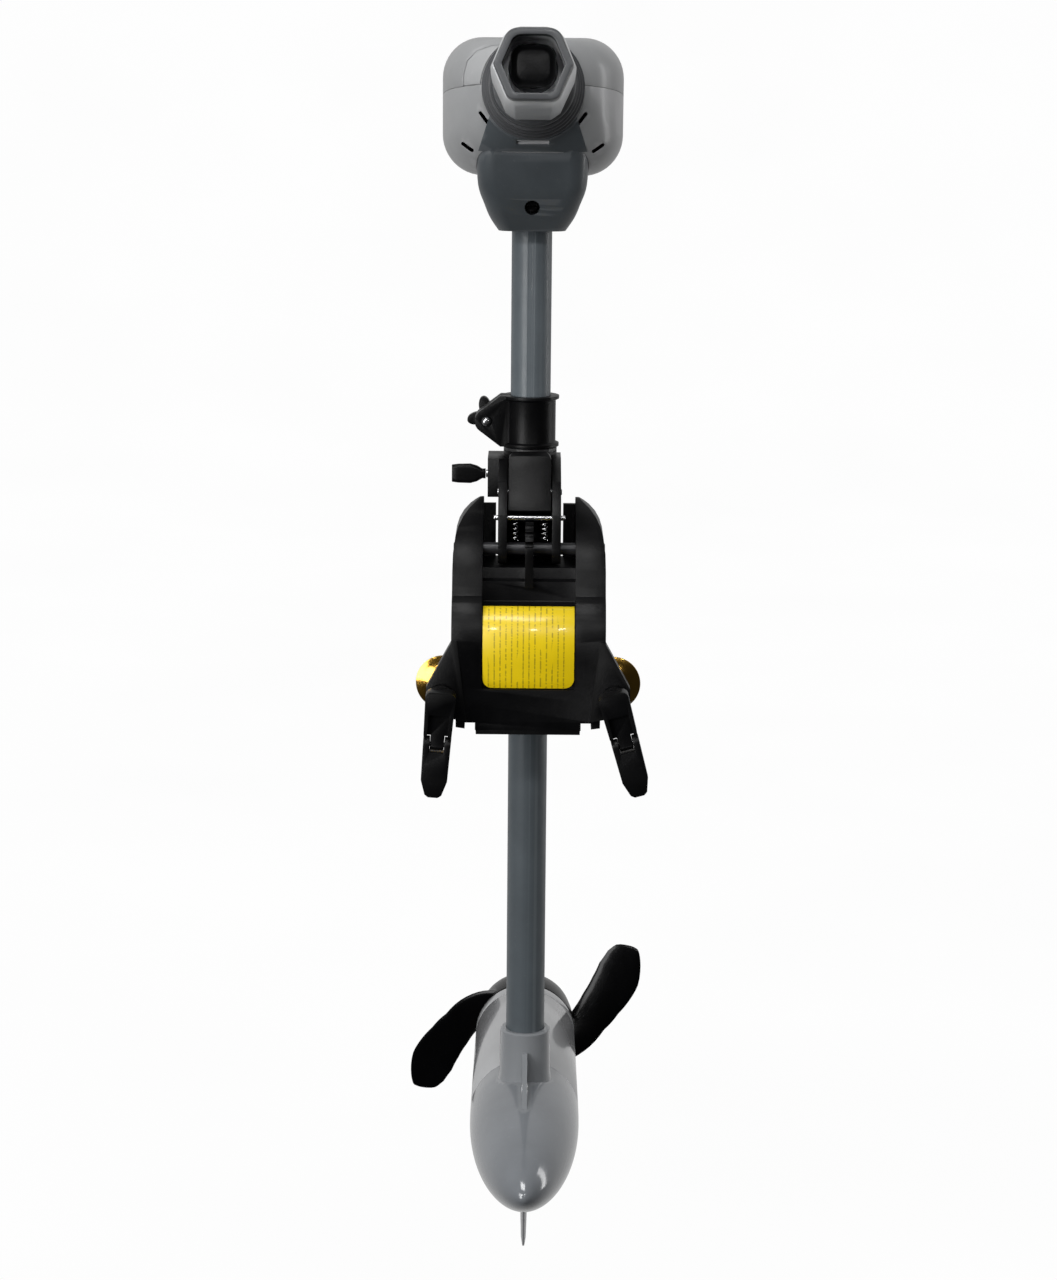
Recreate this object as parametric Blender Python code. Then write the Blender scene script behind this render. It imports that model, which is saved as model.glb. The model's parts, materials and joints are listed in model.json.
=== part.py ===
"""Transom-mount electric trolling motor, upright with the tiller pointing into the boat (-Y).

Metres, +Z up. The origin is the middle of the transom seat, the face under the bracket hook.
Places are given as (x, ahead of the shaft axis, drop below the top of the head).
"""

import math

import bmesh
import bpy
from mathutils import Matrix, Vector

# Frame
SHAFT_Y = 0.072
HEAD_TOP = 0.415
GAP = 0.0003

# Shaft tube
TUBE_R = 0.015
TUBE_BORE = 0.0125
TUBE_TOP = 0.0425
TUBE_LENGTH = 0.762

# Control head
HEAD_WALL = 0.003
SEAM_DROP = 0.0442
SEAM_RISE = 0.135
HEAD_STATIONS = (
    # ahead, half width, top, bottom, corner radius
    (-0.080, 0.036, 0.024, 0.078, 0.016),
    (-0.074, 0.052, 0.012, 0.088, 0.024),
    (-0.060, 0.062, 0.004, 0.095, 0.029),
    (-0.035, 0.0655, 0.0005, 0.098, 0.029),
    (0.005, 0.066, 0.0, 0.0985, 0.029),
    (0.035, 0.0645, 0.0, 0.0975, 0.029),
    (0.058, 0.059, 0.0002, 0.092, 0.028),
    (0.074, 0.050, 0.0004, 0.0825, 0.029),
    (0.083, 0.0415, 0.0004, 0.0740, 0.032),
    (0.0875, 0.0365, 0.0006, 0.0700, 0.0335),
)
NECK_STATIONS = (
    # drop, half width, front, back, corner radius
    (0.062, 0.0375, 0.0720, -0.046, 0.014),
    (0.0775, 0.0397, 0.0775, -0.048, 0.014),
    (0.103, 0.0392, 0.0690, -0.045, 0.014),
    (0.118, 0.0345, 0.0600, -0.040, 0.013),
    (0.128, 0.0305, 0.0510, -0.034, 0.012),
    (0.1375, 0.0245, 0.0410, -0.028, 0.010),
)
NECK_SCREW_DROP = 0.1195
NECK_HOLE_R = 0.0055

# Tiller
TILLER_SLOPE = 0.109
TILLER_PIVOT = 0.070
GRIP_BACK = 0.128
GRIP_FRONT = 0.246
BEZEL_FRONT = 0.258
ARM_R = 0.016
EXTENSION_R = 0.0125

# Depth collar
COLLAR_TOP = 0.262
COLLAR_BOTTOM = 0.3000
COLLAR_R = 0.019
LIP_R = 0.0215
EAR_X = -0.033
EAR_DROP = 0.281

# Swivel
SLEEVE_TOP = 0.3035
SLEEVE_BOTTOM = 0.480
SLEEVE_R = 0.020
SLEEVE_BORE = 0.0180
CHEEK_IN = 0.0165
CHEEK_OUT = 0.0230
PIVOT_AHEAD = 0.072
PIVOT_DROP = 0.366
PIVOT_R = 0.0045
TENSION_DROP = 0.322
LEVER_AHEAD = 0.056
LEVER_DROP = 0.3265
LOCK_AHEAD = 0.0735
LOCK_DROP = 0.3430
SECTOR_R = 0.0195

# Transom bracket
RAIL_OUT = 0.056
RAIL_IN = 0.034
FLANGE_IN = 0.0250
SEAT_DROP = 0.415
POCKET_AFT = 0.040
POCKET_FRONT = 0.104
LEG_AFT = 0.030
LEG_BOTTOM = 0.508
CLAMP_X = 0.063
CLAMP_DROP = 0.468
SCREW_R = 0.005
PAD_R = 0.0204
PAD_FACE = 0.068
HUB_BACK = 0.134
HUB_FRONT = 0.148
HINGE_DOWN = 0.029
HANDLE_END = 0.068
SPLAY_LEFT = 4.4
SPLAY_RIGHT = -15.5

# Motor pod
POD_DROP = 0.8455
POD_R = 0.0435
NOSE_START = -0.0117
NOSE_TIP = 0.148
NOSE_POWER = 2.16
NOSE_ROOT = 1.6
POD_SEAM = -0.025
CAN_BACK = -0.190
BELL_BACK = -0.205
REAR_R = 0.0428
SOCKET_R = 0.0195
SOCKET_TOP = 0.764
SKEG_DROP = 0.955
MOTOR_SHAFT_R = 0.005
BOLT_CIRCLE_R = 0.0345

# Propeller
PROP_FRONT = -0.208
PROP_BACK = -0.256
PROP_HUB_R = 0.042
PROP_R = 0.117
PROP_PITCH = 0.105
BLADES = 2


def clear():
    for obj in list(bpy.data.objects):
        bpy.data.objects.remove(obj, do_unlink=True)


def at(x, ahead, drop):
    return Vector((x, SHAFT_Y - ahead, HEAD_TOP - drop))


def made(name, bm):
    bmesh.ops.remove_doubles(bm, verts=bm.verts, dist=1e-6)
    bmesh.ops.recalc_face_normals(bm, faces=bm.faces)
    mesh = bpy.data.meshes.new(name)
    bm.to_mesh(mesh)
    bm.free()
    obj = bpy.data.objects.new(name, mesh)
    bpy.context.scene.collection.objects.link(obj)
    return obj


def cap_in_strips(bm, ring):
    """Closes a flat-sided end with a row of quads, each joining the two long sides."""
    last = len(ring) - 1
    for i in range(last // 2):
        bm.faces.new((ring[i], ring[i + 1], ring[last - i - 1], ring[last - i]))


def loft(name, rings, ring_shaped=False, strips=False):
    """Skins a row of rings of equal count; ring_shaped joins the last to the first, with no caps."""
    bm = bmesh.new()
    loops = [[bm.verts.new(point) for point in ring] for ring in rings]
    pairs = list(zip(loops, loops[1:]))
    if ring_shaped:
        pairs.append((loops[-1], loops[0]))
    for low, high in pairs:
        for i in range(len(low)):
            j = (i + 1) % len(low)
            bm.faces.new((low[i], low[j], high[j], high[i]))
    if strips:
        cap_in_strips(bm, loops[0])
        cap_in_strips(bm, loops[-1])
    elif not ring_shaped:
        for loop, ring in ((loops[0], rings[0]), (loops[-1], rings[-1])):
            if (Vector(ring[0]) - Vector(ring[len(ring) // 2])).length > 1e-6:
                bm.faces.new(loop)
    return made(name, bm)


def axes_of(axis):
    along = Vector(axis).normalized()
    side = Vector((1, 0, 0)) if abs(along.x) < 0.9 else Vector((0, 0, 1))
    side = (side - along * side.dot(along)).normalized()
    return along, side, along.cross(side)


def turned(name, profile, centre, axis, steps=32, ring_shaped=False):
    """A lathe body: profile holds (radius, distance along the axis from the centre)."""
    along, u, v = axes_of(axis)
    rings = []
    for radius, distance in profile:
        ring = []
        for i in range(steps):
            angle = 2 * math.pi * i / steps
            ring.append(
                centre + along * distance + (u * math.cos(angle) + v * math.sin(angle)) * radius
            )
        rings.append(ring)
    return loft(name, rings, ring_shaped)


def rod(name, start, end, radius, steps=24, chamfer=0.0):
    length = (end - start).length
    profile = [(radius, 0.0), (radius, length)]
    if chamfer:
        profile = [(radius - chamfer, 0.0), (radius, chamfer)]
        profile += [(radius, length - chamfer), (radius - chamfer, length)]
    return turned(name, profile, start, end - start, steps)


def tube(name, start, end, outer, inner, steps=32, chamfer=0.0):
    length = (end - start).length
    profile = [(inner, 0.0), (outer - chamfer, 0.0), (outer, chamfer)]
    profile += [(outer, length - chamfer), (outer - chamfer, length), (inner, length)]
    if not chamfer:
        profile = [(inner, 0.0), (outer, 0.0), (outer, length), (inner, length)]
    return turned(name, profile, start, end - start, steps, ring_shaped=True)


def side_prism(name, outline, x0, x1):
    """Extrudes a side view outline of (ahead, drop) points from x0 to x1."""
    return loft(name, [[at(x, a, d) for a, d in outline] for x in (x0, x1)])


def front_prism(name, outline, ahead0, ahead1):
    """Extrudes a front view outline of (x, drop) points."""
    return loft(name, [[at(x, a, d) for x, d in outline] for a in (ahead0, ahead1)])


def block(name, x0, x1, ahead0, ahead1, drop0, drop1):
    outline = [(ahead0, drop0), (ahead1, drop0), (ahead1, drop1), (ahead0, drop1)]
    return side_prism(name, outline, x0, x1)


def arc(cx, cy, radius, start, end, steps):
    points = []
    for i in range(steps + 1):
        angle = math.radians(start + (end - start) * i / steps)
        points.append((cx + radius * math.cos(angle), cy + radius * math.sin(angle)))
    return points


def rounded(x0, x1, y0, y1, radius, steps=4):
    """A rounded rectangle as (x, y) points."""
    radius = min(radius, (x1 - x0) / 2 - 1e-5, (y1 - y0) / 2 - 1e-5)
    points = arc(x1 - radius, y1 - radius, radius, 0, 90, steps)
    points += arc(x0 + radius, y1 - radius, radius, 90, 180, steps)
    points += arc(x0 + radius, y0 + radius, radius, 180, 270, steps)
    points += arc(x1 - radius, y0 + radius, radius, 270, 360, steps)
    return points


def combine(body, tool, how):
    modifier = body.modifiers.new(how.title(), "BOOLEAN")
    modifier.operation = how
    modifier.solver = "EXACT"
    modifier.object = tool
    bpy.context.view_layer.update()
    graph = bpy.context.evaluated_depsgraph_get()
    result = bpy.data.meshes.new_from_object(body.evaluated_get(graph))
    body.modifiers.clear()
    body.data = result
    bpy.data.objects.remove(tool, do_unlink=True)
    return body


def cut(body, tool):
    return combine(body, tool, "DIFFERENCE")


def add(body, tool):
    return combine(body, tool, "UNION")


def keep(body, tool):
    return combine(body, tool, "INTERSECT")


def finish(obj, colour, roughness, metallic=0.0, origin=None, sharp=38.0):
    material = bpy.data.materials.new(obj.name)
    material.use_nodes = True
    shader = material.node_tree.nodes["Principled BSDF"]
    shader.inputs["Base Color"].default_value = (*colour, 1.0)
    shader.inputs["Roughness"].default_value = roughness
    shader.inputs["Metallic"].default_value = metallic
    obj.data.materials.clear()
    obj.data.materials.append(material)
    if origin is not None:
        obj.data.transform(Matrix.Translation(-origin))
        obj.location = origin
    bpy.context.view_layer.objects.active = obj
    obj.select_set(True)
    bpy.ops.object.shade_smooth()
    obj.data.set_sharp_from_angle(angle=math.radians(sharp))
    obj.select_set(False)
    return obj


HEAD_GREY = (0.33, 0.335, 0.34)
SLATE = (0.085, 0.095, 0.105)
SILVER = (0.52, 0.52, 0.53)
DARK_GREY = (0.11, 0.115, 0.12)
BLACK = (0.014, 0.014, 0.015)
STEEL = (0.55, 0.55, 0.56)
BRASS = (0.72, 0.50, 0.16)
YELLOW = (0.86, 0.66, 0.02)
POD_GREY = (0.34, 0.345, 0.35)
NOSE_GREY = (0.16, 0.17, 0.18)
COPPER = (0.55, 0.25, 0.12)
PVC = (0.05, 0.05, 0.06)

UP = Vector((0, 0, 1))
FORWARD = Vector((0, -1, 0))
RIGHT = Vector((1, 0, 0))


# ---------------------------------------------------------------- control head


def head_body(name, inset):
    rings = []
    last = len(HEAD_STATIONS) - 1
    for i, (ahead, half, top, bottom, radius) in enumerate(HEAD_STATIONS):
        if i == 0:
            ahead += inset
        if i == last:
            ahead -= inset
        outline = rounded(-half + inset, half - inset, top + inset, bottom - inset, radius - inset)
        rings.append([at(x, ahead, drop) for x, drop in outline])
    return loft(name, rings)


def neck_body(name, grow):
    rings = []
    for drop, half, front, back, radius in NECK_STATIONS:
        outline = rounded(-half - grow, half + grow, back - grow, front + grow, radius + grow, 3)
        rings.append([at(x, ahead, drop) for x, ahead in outline])
    rings[0] = [point + UP * grow for point in rings[0]]
    return loft(name, rings)


def seam_side(name, above, gap):
    """A block on one side of the sloping seam between the two halves of the head."""
    far = -0.1 if above else 0.2
    step = -gap if above else gap
    back, front = -0.2, 0.2
    outline = [(back, SEAM_DROP - back * SEAM_RISE + step)]
    outline += [(front, SEAM_DROP - front * SEAM_RISE + step), (front, far), (back, far)]
    return side_prism(name, outline, -0.1, 0.1)


def tiller_axis(ahead):
    return SEAM_DROP - TILLER_SLOPE * ahead


def along_tiller(ahead):
    return at(0, ahead, tiller_axis(ahead))


TILLER_AXIS = Vector((0, -1, TILLER_SLOPE))


def head_shell(name):
    shell = head_body(name, 0.0)
    cut(shell, head_body("hollow", HEAD_WALL))
    mouth = rod("mouth", along_tiller(0.06), along_tiller(0.12), 0.0285, 24)
    return cut(shell, mouth)


def panel_prism(name, grow):
    outline = [(-0.024 + grow, 0.090), (-0.049 - grow, 0.090), (-0.049 - grow, 0.026)]
    outline += [(-0.0465 - grow, 0.0165 - grow), (-0.040, 0.0095 - grow), (-0.030, 0.0062 - grow)]
    outline += [(-0.024 + grow, 0.0055 - grow)]
    return front_prism(name, outline, 0.006 - grow, 0.120)


def head_cover():
    cover = keep(head_shell("head_cover"), seam_side("half", True, GAP / 2))
    pocket = cut(panel_prism("pocket", 0.0003), head_body("floor", 0.0016))
    cut(cover, pocket)
    return finish(cover, HEAD_GREY, 0.42)


def cover_panel():
    panel = keep(panel_prism("cover_panel", 0.0), head_body("skin", 0.0001))
    cut(panel, head_body("floor", 0.0013))
    keep(panel, seam_side("half", True, 0.0006))
    cut(panel, rod("mouth", along_tiller(0.05), along_tiller(0.12), 0.0375, 24))
    return finish(panel, (0.42, 0.425, 0.43), 0.35)


def head_slot(x, drop, length, lean):
    """A slanting vent slot cut through the front wall."""
    points = []
    for u, v in rounded(-length / 2, length / 2, -0.0013, 0.0013, 0.0012, 2):
        angle = math.radians(lean)
        points.append(
            (x + u * math.cos(angle) - v * math.sin(angle), drop + u * math.sin(angle) + v * math.cos(angle))
        )
    return front_prism("slot", points, 0.030, 0.110)


def head_lower():
    lower = keep(head_shell("head_lower"), seam_side("half", False, GAP / 2))
    cut(lower, neck_body("socket", GAP))
    cut(lower, front_prism("notch", rounded(-0.0115, 0.0115, 0.0712, 0.0742, 0.0005, 1), 0.083, 0.100))
    for side in (-1, 1):
        cut(lower, head_slot(side * 0.0345, 0.0555, 0.011, side * -52))
        cut(lower, head_slot(side * 0.0465, 0.0765, 0.0105, side * -34))
    gland = rod("hole", at(0, -0.09, 0.062), at(0, -0.06, 0.062), 0.0063, 20)
    cut(lower, gland)
    return finish(lower, HEAD_GREY, 0.42)


def neck():
    body = neck_body("neck", 0.0)
    cut(body, rod("bore", at(0, 0, 0.055), at(0, 0, 0.145), TUBE_R + GAP, 28))
    recess_back = at(0, 0.036, NECK_SCREW_DROP)
    cut(body, rod("recess", recess_back, at(0, 0.09, NECK_SCREW_DROP), NECK_HOLE_R, 24))
    cut(body, rod("hole", at(0, -0.06, NECK_SCREW_DROP), at(0, 0.04, NECK_SCREW_DROP), 0.0028, 16))
    return finish(body, SLATE, 0.38)


def neck_screw():
    head_back = at(0, 0.0363, NECK_SCREW_DROP)
    screw = rod("neck_screw", head_back, at(0, 0.0403, NECK_SCREW_DROP), 0.0045, 20, 0.0006)
    add(screw, rod("thread", at(0, 0.0160, NECK_SCREW_DROP), at(0, 0.038, NECK_SCREW_DROP), 0.0025, 14))
    cut(screw, block("drive", -0.0035, 0.0035, 0.039, 0.045, NECK_SCREW_DROP - 0.0006, NECK_SCREW_DROP + 0.0006))
    return finish(screw, STEEL, 0.35, 1.0)


def cord_gland():
    centre = at(0, -0.0803, 0.062)
    profile = [(0.0035, 0.0), (0.0095, 0.0), (0.0095, 0.004), (0.0075, 0.010), (0.0035, 0.010)]
    gland = turned("cord_gland", profile, centre, -FORWARD, 14, ring_shaped=True)
    spigot = tube("spigot", at(0, -0.081, 0.062), at(0, -0.070, 0.062), 0.006, 0.0035, 14)
    return finish(add(gland, spigot), BLACK, 0.6)


def tiller_boot():
    """A stepped rubber boot round the root of the tiller."""
    start = along_tiller(0.0922)
    outer = [(0.0362, 0.0), (0.0362, 0.0035), (0.0345, 0.0042), (0.0345, 0.0085)]
    outer += [(0.0328, 0.0092), (0.0328, 0.0135), (0.0312, 0.0142), (0.0312, 0.0180)]
    inner = [(0.0285, 0.0180), (0.0285, 0.0130), (0.0300, 0.0110), (0.0300, 0.0), (0.0300, 0.0)]
    profile = outer + inner[:-1]
    return finish(turned("tiller_boot", profile, start, TILLER_AXIS, 24, True), DARK_GREY, 0.6)


def speed_switch():
    axis_drop = tiller_axis(0.035)
    body = block("speed_switch", -0.016, 0.016, 0.0200, 0.0400, axis_drop - 0.016, axis_drop + 0.016)
    cut(body, rod("bore", at(0, 0.015, axis_drop), at(0, 0.045, axis_drop), 0.0033, 16))
    return finish(body, BLACK, 0.5)


# ---------------------------------------------------------------------- tiller


def tiller_arm():
    """The inner tube that the grip turns on, with its stop collar and its cross barrel in the head."""
    base, collar, mouth, blind = 0.078, 0.116, 0.222, 0.095
    stretch = TILLER_AXIS.length
    c, end, floor = ((ahead - base) * stretch for ahead in (collar, mouth, blind))
    bore = EXTENSION_R + GAP
    profile = [(0.0, 0.0), (ARM_R, 0.0), (ARM_R, c), (0.0265, c), (0.0295, c + 0.002)]
    profile += [(0.0295, c + 0.0075), (0.0280, c + 0.009), (ARM_R, c + 0.009), (ARM_R, end)]
    profile += [(bore, end), (bore, floor), (0.0, floor)]
    arm = turned("tiller_arm", profile, along_tiller(base), TILLER_AXIS, 22)
    pivot = at(0, TILLER_PIVOT, tiller_axis(TILLER_PIVOT))
    add(arm, rod("barrel", pivot - RIGHT * 0.020, pivot + RIGHT * 0.020, 0.011, 16))
    return finish(arm, DARK_GREY, 0.5, origin=pivot)


def extension_tube():
    sleeve = tube("extension_tube", along_tiller(0.100), along_tiller(0.236), EXTENSION_R, 0.010, 28)
    return finish(sleeve, STEEL, 0.35, 1.0, origin=along_tiller(0.100))


def hexagon(half_width, half_height, flat, scale=1.0):
    """The six-sided outline of the grip end, its corners blunted."""
    corners = [(half_width, 0.0), (flat, half_height), (-flat, half_height)]
    corners += [(-half_width, 0.0), (-flat, -half_height), (flat, -half_height)]
    blunt = (0.03, 0.26, 0.26, 0.03, 0.16, 0.16)
    points = []
    count = len(corners)
    for i in range(count):
        here = Vector(corners[i])
        before = Vector(corners[i - 1])
        after = Vector(corners[(i + 1) % count])
        first = here.lerp(before, blunt[i])
        last = here.lerp(after, blunt[i])
        for step in range(4):
            t = step / 3
            points.append(first * (1 - t) ** 2 + here * 2 * t * (1 - t) + last * t * t)
    return [(p.x * scale, p.y * scale) for p in points]


def section_at(outline, ahead):
    along, _, _ = axes_of(TILLER_AXIS)
    up = (UP - along * UP.dot(along)).normalized()
    centre = along_tiller(ahead)
    return [centre + RIGHT * x + up * z for x, z in outline]


def circle_like(outline, radius):
    points = []
    for x, z in outline:
        length = math.hypot(x, z)
        points.append((x * radius / length, z * radius / length))
    return points


def tiller_grip():
    hexed = hexagon(0.0262, 0.0232, 0.0160)
    rings = [section_at(circle_like(hexed, 0.0272), GRIP_BACK)]
    rings.append(section_at(circle_like(hexed, 0.0280), GRIP_BACK + 0.003))
    for step in range(5):
        t = step / 4
        mixed = []
        for hex_point, round_point in zip(hexed, circle_like(hexed, 0.0282)):
            x = round_point[0] * (1 - t) + hex_point[0] * t
            z = round_point[1] * (1 - t) + hex_point[1] * t
            mixed.append((x, z))
        rings.append(section_at(mixed, 0.165 + (GRIP_FRONT - 0.165) * t))
    grip = loft("tiller_grip", rings)
    cut(grip, rod("bore", along_tiller(0.11), along_tiller(0.2260), ARM_R + GAP, 32))
    cut(grip, loft("mouth", [section_at(hexagon(0.0205, 0.0185, 0.0125), a) for a in (0.2240, 0.27)]))
    return finish(grip, SILVER, 0.3, 0.6, origin=along_tiller(GRIP_BACK))


def grip_bezel():
    outer = hexagon(0.0260, 0.0230, 0.0160)
    mouth = hexagon(0.0205, 0.0185, 0.0125)
    rings = [section_at(outer, GRIP_FRONT + GAP), section_at(outer, BEZEL_FRONT - 0.002)]
    rings.append(section_at([(x * 0.97, z * 0.97) for x, z in outer], BEZEL_FRONT))
    rings.append(section_at(mouth, BEZEL_FRONT))
    rings.append(section_at(mouth, GRIP_FRONT + GAP))
    return finish(loft("grip_bezel", rings, True), DARK_GREY, 0.45, origin=along_tiller(GRIP_FRONT))


def grip_plug():
    """The soft-cornered cap on the end of the extension tube, seen inside the bezel."""
    rings = []
    for ahead, half in ((0.2363, 0.0140), (0.2400, 0.0150), (0.2440, 0.0140), (0.2465, 0.0105), (0.2473, 0.005)):
        rings.append(section_at(rounded(-half, half, -half * 0.93, half * 0.93, half * 0.55, 4), ahead))
    return finish(loft("grip_plug", rings), BLACK, 0.45, origin=along_tiller(0.2363))


# ---------------------------------------------------------------- shaft, collar


def shaft_tube():
    top = at(0, 0, TUBE_TOP)
    body = tube("shaft_tube", at(0, 0, TUBE_TOP + TUBE_LENGTH), top, TUBE_R, TUBE_BORE, 28)
    cut(body, rod("pilot", at(0, 0.0, NECK_SCREW_DROP), at(0, 0.02, NECK_SCREW_DROP), 0.0028, 16))
    return finish(body, SLATE, 0.35, origin=at(0, 0, COLLAR_TOP))


def motor_leads():
    lead = rod("motor_leads", at(0, 0, 0.812), at(0, 0, 0.036), 0.005, 12)
    return finish(lead, PVC, 0.5)


def depth_collar():
    top = at(0, 0, COLLAR_TOP)
    height = COLLAR_BOTTOM - COLLAR_TOP
    profile = [(COLLAR_R - 0.002, 0), (LIP_R, 0), (LIP_R, 0.0022), (COLLAR_R, 0.0034)]
    profile += [(COLLAR_R, height - 0.0034), (LIP_R, height - 0.0022), (LIP_R, height), (COLLAR_R - 0.002, height)]
    collar = turned("depth_collar", profile, top, -UP, 24)
    ear = [(-0.010, COLLAR_TOP), (-0.0225, COLLAR_TOP)]
    ear += [(x, d) for x, d in arc(EAR_X, EAR_DROP, 0.0088, 232, 128, 8)]
    ear += [(-0.0225, COLLAR_BOTTOM), (-0.010, COLLAR_BOTTOM)]
    add(collar, front_prism("ear", ear, -0.010, 0.0105))
    cut(collar, rod("bore", at(0, 0, 0.25), at(0, 0, 0.31), TUBE_R + GAP, 24))
    cut(collar, block("split", -0.05, -0.010, -0.0012, 0.0012, 0.25, 0.31))
    cut(collar, rod("hole", at(EAR_X, -0.02, EAR_DROP), at(EAR_X, 0.02, EAR_DROP), 0.0034, 18))
    return finish(collar, BLACK, 0.35, origin=top)


def collar_bolt():
    front = at(EAR_X, 0.0108, EAR_DROP)
    profile = [(0.0, 0.0035), (0.0022, 0.0031), (0.0034, 0.0018), (0.0038, 0.0), (0.0030, 0.0)]
    profile += [(0.0030, -0.034), (0.0, -0.034)]
    return finish(turned("collar_bolt", profile, front, FORWARD, 20), BRASS, 0.3, 1.0, origin=front)


def wing_outline(reach, waist, lean):
    """The outline of a four-lobed knob, as (x, z) about its centre."""
    points = []
    for i in range(32):
        angle = 2 * math.pi * i / 32
        bulge = abs(math.cos(2 * angle)) ** 2
        radius = waist + (reach - waist) * bulge
        turn = angle + math.radians(lean)
        points.append((radius * math.cos(turn), radius * math.sin(turn)))
    return points


def collar_knob():
    outline = wing_outline(0.0152, 0.0070, 102)
    shape = [(EAR_X + x, EAR_DROP - z) for x, z in outline]
    knob = front_prism("collar_knob", shape, -0.0245, -0.0165)
    hub = rod("hub", at(EAR_X, -0.0105, EAR_DROP), at(EAR_X, -0.0180, EAR_DROP), 0.0080, 24)
    add(knob, hub)
    cut(knob, rod("bore", at(EAR_X, -0.005, EAR_DROP), at(EAR_X, -0.03, EAR_DROP), 0.0033, 18))
    return finish(knob, BLACK, 0.4, origin=at(EAR_X, -0.0105, EAR_DROP))


# ---------------------------------------------------------------------- swivel


def cheek(name, x0, x1):
    outline = [(-0.004, 0.3060), (0.0300, 0.3060), (0.0450, 0.3120), (0.0620, 0.3180)]
    outline += [(0.0700, 0.3260), (0.0810, 0.3400), (0.0835, 0.3520)]
    outline += arc(PIVOT_AHEAD, PIVOT_DROP, 0.0110, -10, 110, 8)
    outline += [(0.0500, 0.3700), (0.0290, 0.3740), (0.0235, 0.3830), (0.0215, 0.4300), (-0.004, 0.4300)]
    return side_prism(name, outline, x0, x1)


def swivel_housing():
    body = rod("swivel_housing", at(0, 0, SLEEVE_BOTTOM), at(0, 0, SLEEVE_TOP), SLEEVE_R, 28)
    for side in (-1, 1):
        inner, outer = sorted((side * CHEEK_IN, side * CHEEK_OUT))
        add(body, cheek("cheek", inner, outer))
    boss = block("boss", -0.0315, -0.0120, -0.0090, 0.0300, 0.3060, 0.3350)
    add(body, boss)
    add(body, block("stop", -0.0080, 0.0080, 0.0100, 0.0261, 0.4450, 0.4650))
    cut(body, rod("bore", at(0, 0, 0.50), at(0, 0, 0.29), SLEEVE_BORE, 24))
    cut(body, rod("pivot", at(-0.03, PIVOT_AHEAD, PIVOT_DROP), at(0.03, PIVOT_AHEAD, PIVOT_DROP), PIVOT_R + GAP, 16))
    cut(body, rod("lever", at(-0.03, LEVER_AHEAD, LEVER_DROP), at(0.03, LEVER_AHEAD, LEVER_DROP), 0.0026, 18))
    slot = rounded(LOCK_AHEAD - 0.0023, LOCK_AHEAD + 0.0023, LOCK_DROP - 0.0055, LOCK_DROP + 0.0023, 0.0022, 4)
    cut(body, side_prism("slot", slot, -0.03, 0.03))
    cut(body, rod("screw", at(-0.05, 0, TENSION_DROP), at(-0.012, 0, TENSION_DROP), 0.0033, 18))
    return finish(body, BLACK, 0.42, origin=at(0, PIVOT_AHEAD, PIVOT_DROP))


def bush(name, top, bottom, flange_up):
    outer = SLEEVE_BORE - GAP
    inner = TUBE_R + GAP
    lip = 0.0022
    if flange_up:
        profile = [(inner, 0), (SLEEVE_R, 0), (SLEEVE_R, lip), (outer, lip), (outer, bottom - top), (inner, bottom - top)]
        return finish(turned(name, profile, at(0, 0, top), -UP, 24, True), (0.75, 0.74, 0.7), 0.5)
    profile = [(inner, 0), (SLEEVE_R, 0), (SLEEVE_R, lip), (outer, lip), (outer, bottom - top), (inner, bottom - top)]
    return finish(turned(name, profile, at(0, 0, bottom), UP, 24, True), (0.75, 0.74, 0.7), 0.5)


def tension_knob():
    """A flat paddle on a threaded stud that presses on the upper bush."""
    rings = []
    for x, half, thick in ((-0.0335, 0.0038, 0.0034), (-0.0360, 0.0036, 0.0034), (-0.0400, 0.0060, 0.0034),
                           (-0.0450, 0.0074, 0.0034), (-0.0540, 0.0072, 0.0032), (-0.0590, 0.0066, 0.0028)):
        ring = rounded(-thick, thick, TENSION_DROP - half, TENSION_DROP + half, 0.0028, 3)
        rings.append([at(x, ahead, drop) for ahead, drop in ring])
    return finish(loft("tension_knob", rings), BLACK, 0.4, origin=at(-0.0335, 0, TENSION_DROP))


def tension_screw():
    stud = rod("tension_screw", at(-0.0332, 0, TENSION_DROP), at(-0.0180, 0, TENSION_DROP), 0.0030, 16, 0.0004)
    return finish(stud, STEEL, 0.35, 1.0, origin=at(-0.0332, 0, TENSION_DROP))


def tilt_lever():
    """The tongue that is pulled to free the tilt lock."""
    front = [(0.0440, 0.2985), (0.0500, 0.3010), (0.0560, 0.3110), (0.0625, 0.3220), (0.0700, 0.3330), (0.0735, 0.3375)]
    back = [(0.0700, 0.3395), (0.0640, 0.3345), (0.0560, 0.3310), (0.0515, 0.3265), (0.0470, 0.3150), (0.0410, 0.3030)]
    lever = side_prism("tilt_lever", front + back, -0.0156, 0.0156)
    outline = rounded(-0.0156, 0.0156, 0.2980, 0.360, 0.0065, 5)
    keep(lever, front_prism("outline", outline, 0.02, 0.10))
    pocket = [(0.0475, 0.3050), (0.0560, 0.3050), (0.0680, 0.3230), (0.0620, 0.3230)]
    cut(lever, side_prism("dish", pocket, -0.0105, 0.0105))
    cut(lever, rod("hole", at(-0.03, LEVER_AHEAD, LEVER_DROP), at(0.03, LEVER_AHEAD, LEVER_DROP), 0.0026, 18))
    return finish(lever, BLACK, 0.25, origin=at(0, LEVER_AHEAD, LEVER_DROP))


def lever_pin():
    left = at(-0.0238, LEVER_AHEAD, LEVER_DROP)
    pin = rod("lever_pin", left, at(0.0238, LEVER_AHEAD, LEVER_DROP), 0.0023, 16, 0.0004)
    return finish(pin, STEEL, 0.3, 1.0)


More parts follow.
